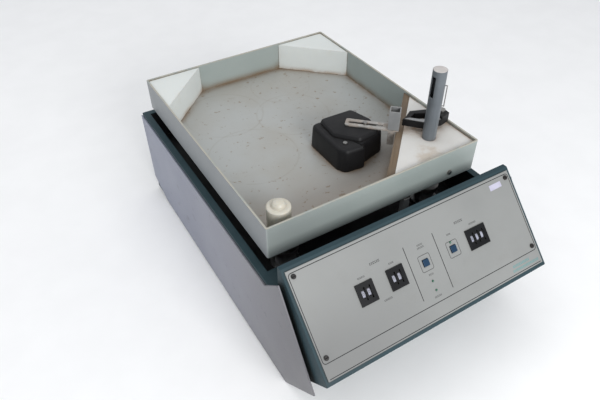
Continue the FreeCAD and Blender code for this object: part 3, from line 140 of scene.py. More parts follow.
def feed(tree, target, source):
    """Joins a socket, or sets a plain value."""
    if isinstance(source, bpy.types.NodeSocket):
        tree.links.new(source, target)
    else:
        target.default_value = source


def maths(tree, operation, first, second=0.0, clamp=False):
    made = add_node(tree, "ShaderNodeMath", operation=operation, use_clamp=clamp)
    feed(tree, made.inputs[0], first)
    feed(tree, made.inputs[1], second)
    return made.outputs[0]


def both(tree, first, second):
    """The product of two masks: full only where both are."""
    return maths(tree, "MULTIPLY", first, second)


def ramp(tree, source, low, high):
    """Stretches the values between low and high to 0..1, with a soft start and end."""
    made = add_node(tree, "ShaderNodeMapRange", interpolation_type="SMOOTHSTEP")
    feed(tree, made.inputs["Value"], source)
    feed(tree, made.inputs["From Min"], low)
    feed(tree, made.inputs["From Max"], high)
    return made.outputs["Result"]


def blend(tree, mask, under, over):
    """Lays the second colour over the first where the mask is 1."""
    made = add_node(tree, "ShaderNodeMix", data_type="RGBA")
    feed(tree, made.inputs[0], mask)
    for socket, colour in ((made.inputs[6], under), (made.inputs[7], over)):
        feed(tree, socket, (*colour, 1) if isinstance(colour, tuple) and len(colour) == 3 else colour)
    return made.outputs[2]


def tint(tree, mask, strength, under, over):
    """Lays the second colour over the first by a mask, no further than a strength."""
    return blend(tree, both(tree, mask, strength), under, over)


def noise(tree, place, scale, detail=4.0, roughness=0.55):
    made = add_node(tree, "ShaderNodeTexNoise")
    feed(tree, made.inputs["Vector"], place)
    feed(tree, made.inputs["Scale"], scale)
    made.inputs["Detail"].default_value = detail
    made.inputs["Roughness"].default_value = roughness
    return made.outputs["Fac"]


def object_place(tree):
    return add_node(tree, "ShaderNodeTexCoord").outputs["Object"]


print("node helpers ready")

# %% [markdown]
# ## Shared effects
# Several finishes share the same effects, so each effect is a node group with named values:
# a fine grain for bump and gloss, worn edges, patches of stain, grime that gathers in corners,
# dust that settles on what faces up, and the drawn lines of rolled or brushed metal.

# %% Shared effects
def effect(name, inputs, outputs):
    """Starts a node group with named float inputs and typed outputs."""
    group = bpy.data.node_groups.new(name, "ShaderNodeTree")
    for label, value in inputs.items():
        socket = group.interface.new_socket(label, in_out="INPUT", socket_type="NodeSocketFloat")
        socket.default_value = value
    for label, kind in outputs.items():
        group.interface.new_socket(label, in_out="OUTPUT", socket_type=kind)
    return group, group.nodes.new("NodeGroupInput"), group.nodes.new("NodeGroupOutput")


FLOAT, VECTOR = "NodeSocketFloat", "NodeSocketVector"

grain, given, result = effect(
    "fine grain", {"Scale": 900, "Patch": 14}, {"Height": FLOAT, "Tone": FLOAT}
)
spot = object_place(grain)
feed(grain, result.inputs["Height"], noise(grain, spot, given.outputs["Scale"], 3))
feed(grain, result.inputs["Tone"], ramp(grain, noise(grain, spot, given.outputs["Patch"], 5), 0.3, 0.7))

wear, given, result = effect(
    "worn edges", {"Radius": 0.0012, "Breakup": 60, "Amount": 0.5}, {"Mask": FLOAT, "Normal": VECTOR}
)
round_edge = add_node(wear, "ShaderNodeBevel", samples=6)
feed(wear, round_edge.inputs["Radius"], given.outputs["Radius"])
true_face = add_node(wear, "ShaderNodeNewGeometry").outputs["Normal"]
turn = add_node(wear, "ShaderNodeVectorMath", operation="DOT_PRODUCT")
feed(wear, turn.inputs[0], round_edge.outputs["Normal"])
feed(wear, turn.inputs[1], true_face)
edge = ramp(wear, maths(wear, "SUBTRACT", 1.0, turn.outputs["Value"]), 0.01, 0.12)
broken = ramp(wear, noise(wear, object_place(wear), given.outputs["Breakup"], 6, 0.65), 0.38, 0.6)
rubbed = maths(wear, "MULTIPLY", both(wear, edge, broken), given.outputs["Amount"], True)
feed(wear, result.inputs["Mask"], rubbed)
feed(wear, result.inputs["Normal"], round_edge.outputs["Normal"])

stain, given, result = effect(
    "stain patches", {"Scale": 12, "Coverage": 0.45, "Softness": 0.12}, {"Mask": FLOAT}
)
spot = object_place(stain)
warp = noise(stain, spot, maths(stain, "MULTIPLY", given.outputs["Scale"], 2.3), 2)
field = noise(stain, spot, given.outputs["Scale"], 8, 0.62)
mixed = maths(stain, "ADD", field, maths(stain, "MULTIPLY", warp, 0.15))
start = maths(stain, "SUBTRACT", 1.03, given.outputs["Coverage"])
finish = maths(stain, "ADD", start, given.outputs["Softness"])
feed(stain, result.inputs["Mask"], ramp(stain, mixed, start, finish))

grime, given, result = effect(
    "corner grime", {"Reach": 0.012, "Breakup": 30, "Amount": 1.0}, {"Mask": FLOAT}
)
shade = add_node(grime, "ShaderNodeAmbientOcclusion", samples=8)
feed(grime, shade.inputs["Distance"], given.outputs["Reach"])
closed_in = ramp(grime, maths(grime, "SUBTRACT", 1.0, shade.outputs["AO"]), 0.12, 0.62)
broken = ramp(grime, noise(grime, object_place(grime), given.outputs["Breakup"], 6, 0.6), 0.28, 0.62)
unbroken = maths(grime, "ADD", both(grime, broken, 0.75), 0.25)
gathered = both(grime, closed_in, unbroken)
feed(grime, result.inputs["Mask"], maths(grime, "MULTIPLY", gathered, given.outputs["Amount"], True))

dust, given, result = effect("settled dust", {"Amount": 0.3}, {"Mask": FLOAT})
up = add_node(dust, "ShaderNodeSeparateXYZ")
feed(dust, up.inputs[0], add_node(dust, "ShaderNodeNewGeometry").outputs["Normal"])
facing_up = ramp(dust, up.outputs["Z"], 0.35, 1.0)
cloud = ramp(dust, noise(dust, object_place(dust), 35, 7, 0.65), 0.35, 0.7)
lying = maths(dust, "MULTIPLY", both(dust, facing_up, cloud), given.outputs["Amount"], True)
feed(dust, result.inputs["Mask"], lying)

drawn, given, result = effect(
    "drawn lines", {"X": 1, "Y": 1, "Z": 0.03, "Scale": 700}, {"Height": FLOAT}
)
stretch = add_node(drawn, "ShaderNodeVectorMath", operation="MULTIPLY")
along = add_node(drawn, "ShaderNodeCombineXYZ")
for axis in "XYZ":
    feed(drawn, along.inputs[axis], given.outputs[axis])
feed(drawn, stretch.inputs[0], object_place(drawn))
feed(drawn, stretch.inputs[1], along.outputs[0])
feed(drawn, result.inputs["Height"], noise(drawn, stretch.outputs[0], given.outputs["Scale"], 4))
print("effects:", [g.name for g in bpy.data.node_groups])


# %% Place an effect
def place(tree, effect_name, **values):
    """Puts a shared effect into a material with its own values."""
    made = add_node(tree, "ShaderNodeGroup", node_tree=bpy.data.node_groups[effect_name])
    for key, setting in values.items():
        feed(tree, made.inputs[key.replace("_", " ")], setting)
    return made


print("place() ready")

# %% [markdown]
# ## One recipe for coated surfaces
# Paint, plastic and printed film all follow one recipe: a base colour that drifts a little
# between two tones, a worn colour on the edges, grime in the corners, dust on top, and a fine
# bump over edges that are slightly rounded. Each finish below gives the recipe its own numbers,
# and takes the returned sockets further where the real surface shows more.

# %% Coated surface recipe
def coat(
    name,
    colour,
    other,
    worn=None,
    roughness=0.5,
    metallic=0.0,
    grain_scale=900,
    patch=14,
    bump=0.04,
    edge_radius=0.0008,
    wear_amount=0.6,
    grime_colour=(0.05, 0.04, 0.03),
    grime_amount=0.5,
    reach=0.01,
    dust_amount=0.15,
    dust_colour=(0.35, 0.33, 0.30),
    reflection=0.5,
):
    """Makes a coated material; returns it with its tree, shader and last colour socket."""
    made = bpy.data.materials.new(name)
    made.use_nodes = True
    tree = made.node_tree
    shader = tree.nodes["Principled BSDF"]
    fine = place(tree, "fine grain", Scale=grain_scale, Patch=patch)
    edges = place(tree, "worn edges", Radius=edge_radius, Amount=wear_amount)
    corners = place(tree, "corner grime", Reach=reach, Amount=grime_amount)
    settled = place(tree, "settled dust", Amount=dust_amount)
    shown = blend(tree, fine.outputs["Tone"], colour, other)
    shown = blend(tree, edges.outputs["Mask"], shown, worn or other)
    shown = blend(tree, corners.outputs["Mask"], shown, grime_colour)
    shown = blend(tree, settled.outputs["Mask"], shown, dust_colour)
    feed(tree, shader.inputs["Base Color"], shown)
    gloss = maths(tree, "MULTIPLY_ADD", fine.outputs["Tone"], 0.14)
    gloss.node.inputs[2].default_value = roughness - 0.07
    gloss = maths(tree, "ADD", gloss, maths(tree, "MULTIPLY", settled.outputs["Mask"], 0.3), True)
    feed(tree, shader.inputs["Roughness"], gloss)
    shader.inputs["Metallic"].default_value = metallic
    shader.inputs["Specular IOR Level"].default_value = reflection
    relief = add_node(tree, "ShaderNodeBump")
    relief.inputs["Distance"].default_value = 0.0002
    relief.inputs["Strength"].default_value = min(1.0, bump * 5)
    feed(tree, relief.inputs["Height"], fine.outputs["Height"])
    feed(tree, relief.inputs["Normal"], edges.outputs["Normal"])
    feed(tree, shader.inputs["Normal"], relief.outputs["Normal"])
    return made, tree, shader, shown


def add_lines(tree, shader, stretch, scale, distance, strength):
    """Adds drawn or turned lines to the bump that a coated material already has."""
    lines = place(tree, "drawn lines", X=stretch[0], Y=stretch[1], Z=stretch[2], Scale=scale)
    relief = add_node(tree, "ShaderNodeBump")
    relief.inputs["Distance"].default_value = distance
    relief.inputs["Strength"].default_value = strength
    feed(tree, relief.inputs["Height"], lines.outputs["Height"])
    feed(tree, relief.inputs["Normal"], shader.inputs["Normal"].links[0].from_socket)
    feed(tree, shader.inputs["Normal"], relief.outputs["Normal"])


def wear_finish(finish, *names):
    """Gives CAD nodes a finish in place of the plain one they came with."""
    for name in names:
        for holder in nodes[name].material_slots:
            holder.material = finish
    print(finish.name, "on", len(names), "nodes")


floor_finish, *_ = coat(
    "studio paper",
    (0.93, 0.93, 0.93),
    (0.95, 0.95, 0.95),
    roughness=0.9,
    grime_amount=0.0,
    dust_amount=0.0,
)
floor_mesh.materials.append(floor_finish)

# %% [markdown]
# ## Housing paint
# The housing and console are folded sheet in a dark blue-green enamel, rubbed to a paler tone along its
# folds. The side plates are a separate lavender-grey with small dark scuffs; painted bluish light makes
# them bluer towards the back, and painted shade makes them darker towards the front. The well under the
# tray is satin black.

# %% Housing paint
teal, *_ = coat(
    "teal enamel",
    (0.014, 0.036, 0.045),
    (0.021, 0.047, 0.058),
    worn=(0.07, 0.10, 0.11),
    roughness=0.58,
    grain_scale=1400,
    bump=0.03,
    edge_radius=0.0008,
    wear_amount=0.35,
    dust_amount=0.04,
    dust_colour=(0.16, 0.20, 0.21),
    reflection=0.3,
)
wear_finish(teal, "body_shell", "console_shell")

lavender, tree, shader, shown = coat(
    "lavender side paint",
    (0.222, 0.218, 0.246),
    (0.260, 0.256, 0.283),
    worn=(0.42, 0.42, 0.45),
    roughness=0.42,
    grain_scale=1100,
    patch=9,
    bump=0.04,
    wear_amount=0.15,
    grime_amount=0.3,
    dust_amount=0.1,
)
along = add_node(tree, "ShaderNodeSeparateXYZ")
feed(tree, along.inputs[0], object_place(tree))
cheek_lo, cheek_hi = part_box("left_cheek")
# Painted light: the side plates are tinted bluer towards the back, for the bluish light that falls
# there.
cheek_blue_light = ramp(tree, along.outputs["Y"], cheek_lo.y, cheek_hi.y)
shown = tint(tree, cheek_blue_light, 0.75, shown, (0.225, 0.250, 0.335))
# Painted shade: the side plates are darkened towards the front.
CHEEK_SHADE_REACH = 0.26
cheek_front_shade = ramp(tree, along.outputs["Y"], cheek_lo.y + CHEEK_SHADE_REACH, cheek_lo.y)
shown = tint(tree, cheek_front_shade, 0.9, shown, (0.130, 0.127, 0.137))
scuffs = place(tree, "stain patches", Scale=55, Coverage=0.34, Softness=0.05)
shown = tint(tree, scuffs.outputs["Mask"], 0.45, shown, (0.10, 0.10, 0.12))
feed(tree, shader.inputs["Base Color"], shown)
wear_finish(lavender, "left_cheek", "right_cheek")

well_black, *_ = coat(
    "well black",
    (0.010, 0.010, 0.012),
    (0.016, 0.016, 0.018),
    worn=(0.08, 0.08, 0.08),
    roughness=0.5,
    dust_amount=0.25,
    dust_colour=(0.07, 0.065, 0.06),
)
wear_finish(well_black, "deck_pan")

# %% [markdown]
# ## Tray paint
# The tray is painted grey-green. Its top edge has lost paint all round, so it is paler there. Painted
# shade darkens the outer front wall round the front left corner, and painted bluish light tints the
# outer left wall darker and bluer. Inside, years of spilled media left brown patches, darker brown in
# the corners and along the seams, and faint rings where vessels stood. A ring is a circle on the floor:
# the distance from its centre, compared with its radius, gives a thin line, and noise breaks it up.

# %% Tray paint
ring_mark, given, result = effect(
    "ring mark", {"Centre X": 0, "Centre Y": 0, "Radius": 0.06, "Width": 0.002}, {"Mask": FLOAT}
)
spot = add_node(ring_mark, "ShaderNodeSeparateXYZ")
feed(ring_mark, spot.inputs[0], object_place(ring_mark))
squares = []
for axis in "XY":
    offset = maths(ring_mark, "SUBTRACT", spot.outputs[axis], given.outputs["Centre " + axis])
    squares.append(maths(ring_mark, "MULTIPLY", offset, offset))
reach = maths(ring_mark, "SQRT", maths(ring_mark, "ADD", *squares))
off_ring = maths(ring_mark, "ABSOLUTE", maths(ring_mark, "SUBTRACT", reach, given.outputs["Radius"]))
line = maths(ring_mark, "SUBTRACT", 1.0, ramp(ring_mark, off_ring, 0.0, given.outputs["Width"]))
broken = ramp(ring_mark, noise(ring_mark, object_place(ring_mark), 28, 6, 0.6), 0.35, 0.6)
feed(ring_mark, result.inputs["Mask"], both(ring_mark, line, broken))

tray_lo, tray_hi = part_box("tray_pan")
BROWN_REACH, TRAY_SHADE_REACH = 0.14, 0.18
RING_WIDTH = 0.0022
RINGS = [(-0.075, 0.175, 0.062), (0.045, 0.205, 0.050), (-0.085, 0.055, 0.066), (0.02, 0.12, 0.058)]
tray_paint, tree, shader, shown = coat(
    "tray paint",
    (0.295, 0.338, 0.324),
    (0.332, 0.372, 0.356),
    worn=(0.42, 0.42, 0.38),
    roughness=0.42,
    grain_scale=1300,
    patch=8,
    bump=0.035,
    edge_radius=0.0009,
    wear_amount=0.9,
    grime_colour=(0.13, 0.075, 0.032),
    grime_amount=0.75,
    reach=0.016,
    dust_amount=0.0,
)
where = add_node(tree, "ShaderNodeSeparateXYZ")
feed(tree, where.inputs[0], object_place(tree))
facing = add_node(tree, "ShaderNodeSeparateXYZ")
feed(tree, facing.inputs[0], add_node(tree, "ShaderNodeNewGeometry").outputs["Normal"])
up_the_wall = ramp(tree, where.outputs["Z"], tray_lo.z + 0.006, tray_lo.z + 0.012)
off_rim = maths(tree, "SUBTRACT", 1.0, up_the_wall)
on_floor = both(tree, ramp(tree, facing.outputs["Z"], 0.5, 0.9), off_rim)
floor_tone = blend(
    tree,
    ramp(tree, noise(tree, object_place(tree), 6, 7, 0.6), 0.35, 0.68),
    (0.395, 0.406, 0.396),
    (0.360, 0.355, 0.330),
)
shown = blend(tree, on_floor, shown, floor_tone)
brown = place(tree, "stain patches", Scale=5, Coverage=0.52, Softness=0.35)
brown_mask = both(tree, brown.outputs["Mask"], on_floor)
shown = tint(tree, brown_mask, 0.4, shown, (0.33, 0.295, 0.235))
near_front = ramp(tree, where.outputs["Y"], tray_lo.y + BROWN_REACH, tray_lo.y)
shown = tint(tree, both(tree, near_front, on_floor), 0.75, shown, (0.300, 0.235, 0.180))
specks = place(tree, "stain patches", Scale=120, Coverage=0.33, Softness=0.03)
speck_mask = both(tree, specks.outputs["Mask"], on_floor)
shown = tint(tree, speck_mask, 0.6, shown, (0.20, 0.14, 0.08))
for centre_x, centre_y, radius in RINGS:
    mark = place(
        tree, "ring mark", Centre_X=centre_x, Centre_Y=centre_y, Radius=radius, Width=RING_WIDTH
    )
    mark_mask = both(tree, mark.outputs["Mask"], on_floor)
    shown = tint(tree, mark_mask, 0.16, shown, (0.20, 0.15, 0.09))
corner = place(tree, "corner grime", Reach=0.022, Breakup=18, Amount=0.85)
below_rim = ramp(tree, where.outputs["Z"], tray_hi.z, tray_hi.z - 0.02)
shown = blend(tree, both(tree, corner.outputs["Mask"], below_rim), shown, (0.17, 0.095, 0.035))
rim_bare = ramp(tree, where.outputs["Z"], tray_hi.z - 0.0014, tray_hi.z - 0.0004)
rim_chips = ramp(tree, noise(tree, object_place(tree), 40, 6, 0.65), 0.30, 0.55)
shown = blend(tree, both(tree, rim_bare, rim_chips), shown, (0.42, 0.40, 0.34))


def outer_wall(axis, edge):
    """A mask for the outer face of the wall that stands at the low end of an axis."""
    turned = ramp(tree, both(tree, facing.outputs[axis], -1.0), 0.5, 0.9)
    return both(tree, turned, ramp(tree, where.outputs[axis], edge + 0.0012, edge + 0.0006))


# Painted bluish light and shade: the outer left wall is tinted darker and bluer than the rest of the
# paint.
shown = tint(tree, outer_wall("X", tray_lo.x), 0.7, shown, (0.190, 0.194, 0.214))
# Painted shade: the outer front wall is darkened towards the front left corner.
front_left_shade = ramp(tree, where.outputs["X"], tray_lo.x + TRAY_SHADE_REACH, tray_lo.x)
front_wall_shade = both(tree, outer_wall("Y", tray_lo.y), front_left_shade)
shown = tint(tree, front_wall_shade, 0.85, shown, (0.225, 0.250, 0.243))
feed(tree, shader.inputs["Base Color"], shown)
wear_finish(tray_paint, "tray_pan")

# %% [markdown]
# ## Plastics and board in the tray
# The corner blocks are cut from white plastic sheet. Liquid has crept along their edges and left
# them brown, and the front block is also scuffed on top. The facing board is tan with long grain.
# The guide roller is an older cream plastic, uneven like old ivory.

# %% Blocks, board and roller
white_block, tree, shader, shown = coat(
    "white block",
    (0.650, 0.678, 0.661),
    (0.695, 0.723, 0.701),
    worn=(0.60, 0.50, 0.36),
    roughness=0.45,
    grain_scale=500,
    patch=10,
    bump=0.05,
    edge_radius=0.0012,
    wear_amount=0.5,
    grime_colour=(0.30, 0.17, 0.07),
    grime_amount=0.95,
    reach=0.014,
    dust_amount=0.0,
)
shader.inputs["Subsurface Weight"].default_value = 0.08
shader.inputs["Subsurface Radius"].default_value = (0.006, 0.005, 0.004)
smear = place(tree, "stain patches", Scale=16, Coverage=0.42, Softness=0.18)
shown = tint(tree, smear.outputs["Mask"], 0.15, shown, (0.50, 0.42, 0.30))
feed(tree, shader.inputs["Base Color"], shown)
wear_finish(white_block, "back_left_block", "back_right_block")

front_block, tree, shader, shown = coat(
    "scuffed block",
    (0.610, 0.593, 0.559),
    (0.678, 0.672, 0.650),
    worn=(0.42, 0.30, 0.18),
    roughness=0.5,
    grain_scale=500,
    patch=12,
    bump=0.06,
    edge_radius=0.0014,
    wear_amount=0.7,
    grime_colour=(0.26, 0.15, 0.07),
    grime_amount=1.0,
    reach=0.022,
    dust_amount=0.0,
)
shader.inputs["Subsurface Weight"].default_value = 0.06
shader.inputs["Subsurface Radius"].default_value = (0.006, 0.005, 0.004)
smear = place(tree, "stain patches", Scale=22, Coverage=0.46, Softness=0.2)
shown = tint(tree, smear.outputs["Mask"], 0.5, shown, (0.40, 0.30, 0.19))
feed(tree, shader.inputs["Base Color"], shown)
wear_finish(front_block, "front_right_block")

tan_board, tree, shader, shown = coat(
    "tan board",
    (0.125, 0.085, 0.048),
    (0.170, 0.118, 0.070),
    worn=(0.30, 0.21, 0.13),
    roughness=0.55,
    grain_scale=600,
    bump=0.08,
    grime_colour=(0.13, 0.08, 0.045),
    grime_amount=0.8,
    dust_amount=0.1,
)
turned_place = add_node(tree, "ShaderNodeMapping")
turned_place.inputs["Rotation"].default_value = (0, 0, math.radians(45))
feed(tree, turned_place.inputs["Vector"], object_place(tree))
long_grain = add_node(tree, "ShaderNodeVectorMath", operation="MULTIPLY")
feed(tree, long_grain.inputs[0], turned_place.outputs["Vector"])
long_grain.inputs[1].default_value = (1.0, 0.04, 1.0)
fibres = ramp(tree, noise(tree, long_grain.outputs[0], 380, 4), 0.42, 0.62)
shown = tint(tree, fibres, 0.5, shown, (0.09, 0.058, 0.032))
feed(tree, shader.inputs["Base Color"], shown)
wear_finish(tan_board, "facing_board")

cream, tree, shader, shown = coat(
    "cream roller",
    (0.53, 0.50, 0.42),
    (0.60, 0.57, 0.49),
    worn=(0.62, 0.59, 0.52),
    roughness=0.38,
    grain_scale=700,
    patch=30,
    bump=0.04,
    edge_radius=0.0014,
    grime_colour=(0.22, 0.15, 0.07),
    grime_amount=0.7,
    dust_amount=0.0,
)
shader.inputs["Subsurface Weight"].default_value = 0.15
shader.inputs["Subsurface Radius"].default_value = (0.008, 0.006, 0.004)
add_lines(tree, shader, (0.04, 0.04, 1), 900, distance=0.0002, strength=0.35)
wear_finish(cream, "guide_roller")

# %% [markdown]
# ## Black mouldings
# The sampling head and the swing arm are dull black mouldings with a faint leathery grain,
# dusty on top. The preset switches and the mains parts are the same plastic but cleaner.

# %% Black mouldings
black, *_ = coat(
    "black moulding",
    (0.005, 0.005, 0.006),
    (0.009, 0.009, 0.010),
    worn=(0.05, 0.048, 0.045),
    roughness=0.46,
    grain_scale=800,
    patch=24,
    bump=0.10,
    edge_radius=0.0016,
    wear_amount=0.75,
    grime_amount=0.2,
    dust_amount=0.18,
    dust_colour=(0.045, 0.042, 0.042),
    reflection=0.24,
)
wear_finish(black, "swing_arm", "head_housing", "head_lid")

switch_black, *_ = coat(
    "switch black",
    (0.004, 0.004, 0.005),
    (0.006, 0.007, 0.008),
    worn=(0.03, 0.03, 0.03),
    roughness=0.38,
    grain_scale=1500,
    edge_radius=0.0004,
    wear_amount=0.5,
    grime_amount=0.2,
    dust_amount=0.03,
    dust_colour=(0.05, 0.05, 0.05),
    reflection=0.2,
)
wheel_names = [name for name in nodes if "digit_wheel" in name]
wear_finish(
    switch_black,
    "left_preset_switch",
    "middle_preset_switch",
    "right_preset_switch",
    "button_switches",
    "power_inlet",
    "mains_rocker",
    *wheel_names,
)

# %% [markdown]
# ## Metals
# Bare metal is one recipe too: a metallic base, drawn or turned lines in the bump, and dirt.
# The slotted strap is old plated steel that has rusted, so rust patches take over the colour
# and turn the metal dull.

# %% Metals
def metal(name, colour, other, roughness=0.32, lines=(1, 1, 0.03), line_scale=700, **more):
    """Makes a bare metal from the coated recipe."""
    made, tree, shader, shown = coat(
        name, colour, other, roughness=roughness, metallic=1.0, bump=0.02, **more
    )
    add_lines(tree, shader, lines, line_scale, distance=0.0001, strength=0.4)
    return made, tree, shader, shown


shaft_steel, *_ = metal("ground steel", (0.30, 0.29, 0.28), (0.36, 0.35, 0.34), roughness=0.3)
wear_finish(
    shaft_steel,
    "main_crank",
    "left_idler_crank",
    "right_idler_crank",
    "rear_idler_crank",
    "counterweight",
    "shaft_bearings",
    "carrier_bearings",
    "roller_pin",
    "post_clip",
)
aluminium, *_ = metal("turned aluminium", (0.36, 0.365, 0.37), (0.42, 0.425, 0.43), roughness=0.4)
wear_finish(
    aluminium,
    "main_bearing_housing",
    "idler_housings",
    "crank_pulley",
    "motor_pulley",
    "tray_carrier",
    "arm_strip",
)
zinc, *_ = metal("zinc sheet", (0.46, 0.47, 0.48), (0.54, 0.55, 0.56), roughness=0.4, patch=40)
wear_finish(zinc, "base_pan")

screw_steel, *_ = metal(
    "screw steel", (0.30, 0.30, 0.30), (0.38, 0.37, 0.35), roughness=0.38, edge_radius=0.0003
)
wear_finish(screw_steel, "tray_screws", "arm_pivot_screw", "head_screws")
dark_screw, *_ = metal("blackened screw", (0.020, 0.020, 0.021), (0.035, 0.035, 0.035), roughness=0.5)
wear_finish(dark_screw, "fascia_screws")

post_steel, tree, shader, shown = coat(
    "drawn post",
    (0.118, 0.134, 0.148),
    (0.152, 0.170, 0.188),
    worn=(0.28, 0.29, 0.30),
    roughness=0.4,
    metallic=0.35,
    grain_scale=700,
    patch=20,
    edge_radius=0.0006,
    grime_colour=(0.10, 0.07, 0.05),
    grime_amount=0.6,
    dust_amount=0.1,
)
streaks = place(tree, "drawn lines", X=1, Y=1, Z=0.05, Scale=160)
streak_mask = ramp(tree, streaks.outputs["Height"], 0.5, 0.72)
shown = tint(tree, streak_mask, 0.4, shown, (0.25, 0.27, 0.29))
feed(tree, shader.inputs["Base Color"], shown)
wear_finish(post_steel, "round_post")

grey_tube, *_ = coat(
    "grey socket",
    (0.190, 0.196, 0.200),
    (0.235, 0.240, 0.243),
    worn=(0.46, 0.45, 0.42),
    roughness=0.5,
    grain_scale=900,
    patch=40,
    bump=0.08,
    edge_radius=0.0007,
    wear_amount=0.9,
    grime_colour=(0.09, 0.07, 0.05),
)
wear_finish(grey_tube, "square_socket", "transit_post")

rusty, tree, shader, shown = metal(
    "rusty strap",
    (0.42, 0.405, 0.38),
    (0.50, 0.485, 0.46),
    roughness=0.42,
    lines=(1, 1, 1),
    line_scale=300,
    patch=60,
    edge_radius=0.0004,
)
rust = place(tree, "stain patches", Scale=70, Coverage=0.46, Softness=0.08)
rusted = rust.outputs["Mask"]
rust_drift = ramp(tree, noise(tree, object_place(tree), 300, 6), 0.4, 0.6)
rust_colour = blend(tree, rust_drift, (0.13, 0.085, 0.055), (0.22, 0.15, 0.10))
feed(tree, shader.inputs["Base Color"], tint(tree, rusted, 0.5, shown, rust_colour))
feed(tree, shader.inputs["Metallic"], maths(tree, "SUBTRACT", 0.75, both(tree, rusted, 0.7), True))
feed(tree, shader.inputs["Roughness"], maths(tree, "ADD", 0.42, both(tree, rusted, 0.4), True))
wear_finish(rusty, "slotted_bracket")

# %% [markdown]
# ## Small parts and hidden parts
# Rubber, coil, laminate and the motor can are seen only from below, from behind or through the gap
# round the tray. They still get their own finish.

# %% Small and hidden parts
rubber, *_ = coat(
    "black rubber",
    (0.012, 0.012, 0.012),
    (0.02, 0.02, 0.02),
    worn=(0.06, 0.06, 0.06),
    roughness=0.75,
    grain_scale=1200,
    bump=0.12,
)
wear_finish(rubber, "rubber_feet", "drive_belt")
motor_paint, *_ = coat(
    "motor paint",
    (0.035, 0.037, 0.04),
    (0.05, 0.052, 0.055),
    worn=(0.3, 0.3, 0.3),
    roughness=0.5,
    bump=0.08,
)
wear_finish(motor_paint, "drive_motor")
iron, *_ = coat(
    "varnished core",
    (0.10, 0.07, 0.045),
    (0.15, 0.10, 0.06),
    worn=(0.3, 0.25, 0.2),
    roughness=0.45,
    grain_scale=400,
    bump=0.12,
)
wear_finish(iron, "transformer")
laminate, *_ = coat(
    "board laminate",
    (0.02, 0.10, 0.045),
    (0.03, 0.13, 0.06),
    worn=(0.35, 0.3, 0.12),
    roughness=0.35,
    grain_scale=2000,
)
wear_finish(laminate, "circuit_board")

blue_cap, *_ = coat(
    "blue cap",
    (0.005, 0.026, 0.059),
    (0.007, 0.035, 0.078),
    worn=(0.04, 0.10, 0.19),
    roughness=0.3,
    grain_scale=1500,
    edge_radius=0.0009,
    wear_amount=0.5,
    grime_colour=(0.01, 0.015, 0.03),
    grime_amount=0.8,
    reach=0.003,
    dust_amount=0.0,
    reflection=0.3,
)
wear_finish(blue_cap, "left_button", "right_button")

green_lens, tree, shader, shown = coat(
    "green lens",
    (0.004, 0.075, 0.038),
    (0.010, 0.105, 0.055),
    worn=(0.05, 0.20, 0.12),
    roughness=0.15,
    grain_scale=2500,
    edge_radius=0.0003,
    grime_amount=0.5,
    reach=0.002,
    dust_amount=0.05,
)
shader.inputs["Coat Weight"].default_value = 0.6
wear_finish(green_lens, "indicator_lamps")

# %% [markdown]
# ## Panel film
# The control plate is a light grey printed film on metal, faintly smudged all over, with painted shade
# that darkens it towards its lower left corner.

# %% Panel film
film, tree, shader, shown = coat(
    "panel film",
    (0.222, 0.228, 0.222),
    (0.246, 0.252, 0.246),
    worn=(0.34, 0.34, 0.33),
    roughness=0.45,
    grain_scale=2200,
    patch=7,
    bump=0.03,
    edge_radius=0.0005,
    grime_colour=(0.20, 0.19, 0.17),
    grime_amount=0.55,
    reach=0.004,
    dust_amount=0.05,
)
panel_lo, panel_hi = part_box("control_fascia")
across = add_node(tree, "ShaderNodeSeparateXYZ")
feed(tree, across.inputs[0], object_place(tree))
# Painted shade: the plate is darkened towards its lower left corner.
panel_shade_left = ramp(tree, across.outputs["X"], panel_lo.x + 0.20, panel_lo.x)
panel_shade_low = ramp(tree, across.outputs["Z"], panel_hi.z, panel_lo.z)
shown = tint(tree, both(tree, panel_shade_left, panel_shade_low), 0.9, shown, (0.130, 0.132, 0.130))
smudge = place(tree, "stain patches", Scale=26, Coverage=0.42, Softness=0.22)
shown = tint(tree, smudge.outputs["Mask"], 0.22, shown, (0.19, 0.187, 0.175))
feed(tree, shader.inputs["Base Color"], shown)
wear_finish(film, "control_fascia")

# %% [markdown]
# ## Places on the panel
# Everything printed on the panel is placed by two numbers: how far right of the middle, and how
# far down from the plate's top edge. The plate's own box gives the corner, its slope is 45
# degrees, and a third number lifts a piece off the surface.

# %% Places on the panel
SLOPE = math.sqrt(0.5)
PLATE = 1.5 * MM
panel_top = Vector((0, panel_hi.y - PLATE * SLOPE, panel_hi.z))
down_slope = Vector((0, -SLOPE, -SLOPE))
panel_out = Vector((0, -SLOPE, SLOPE))


def on_panel(right, down, lift=0.0):
    """A point on the panel, from millimetres right, down and off the surface."""
    across = Vector((right * MM, 0, 0))
    return panel_top + across + down_slope * (down * MM) + panel_out * (lift * MM)


def to_mesh(shape, name):
    """Turns a finished shape into a mesh and frees the shape."""
    mesh = bpy.data.meshes.new(name)
    shape.to_mesh(mesh)
    shape.free()
    return mesh


def finished_piece(name, mesh, body, material):
    """Adds a mesh to the scene, rides it on a body and gives it a finish."""
    made = bpy.data.objects.new(name, mesh)
    scene.collection.objects.link(made)
    mesh.materials.append(material)
    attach(made, body)
    return made


def slabs(name, outlines, thickness, material):
    """Thin flat pieces that stand on the panel, each from its outline in millimetres."""
    shape = bmesh.new()
    for outline in outlines:
        low = [shape.verts.new(on_panel(x, y)) for x, y in outline]
        high = [shape.verts.new(on_panel(x, y, thickness)) for x, y in outline]
        count = len(outline)
        shape.faces.new(high)
        shape.faces.new(low[::-1])
        for i in range(count):
            j = (i + 1) % count
            shape.faces.new((low[i], low[j], high[j], high[i]))
    bmesh.ops.recalc_face_normals(shape, faces=shape.faces)
    finished_piece(name, to_mesh(shape, name), "housing", material)


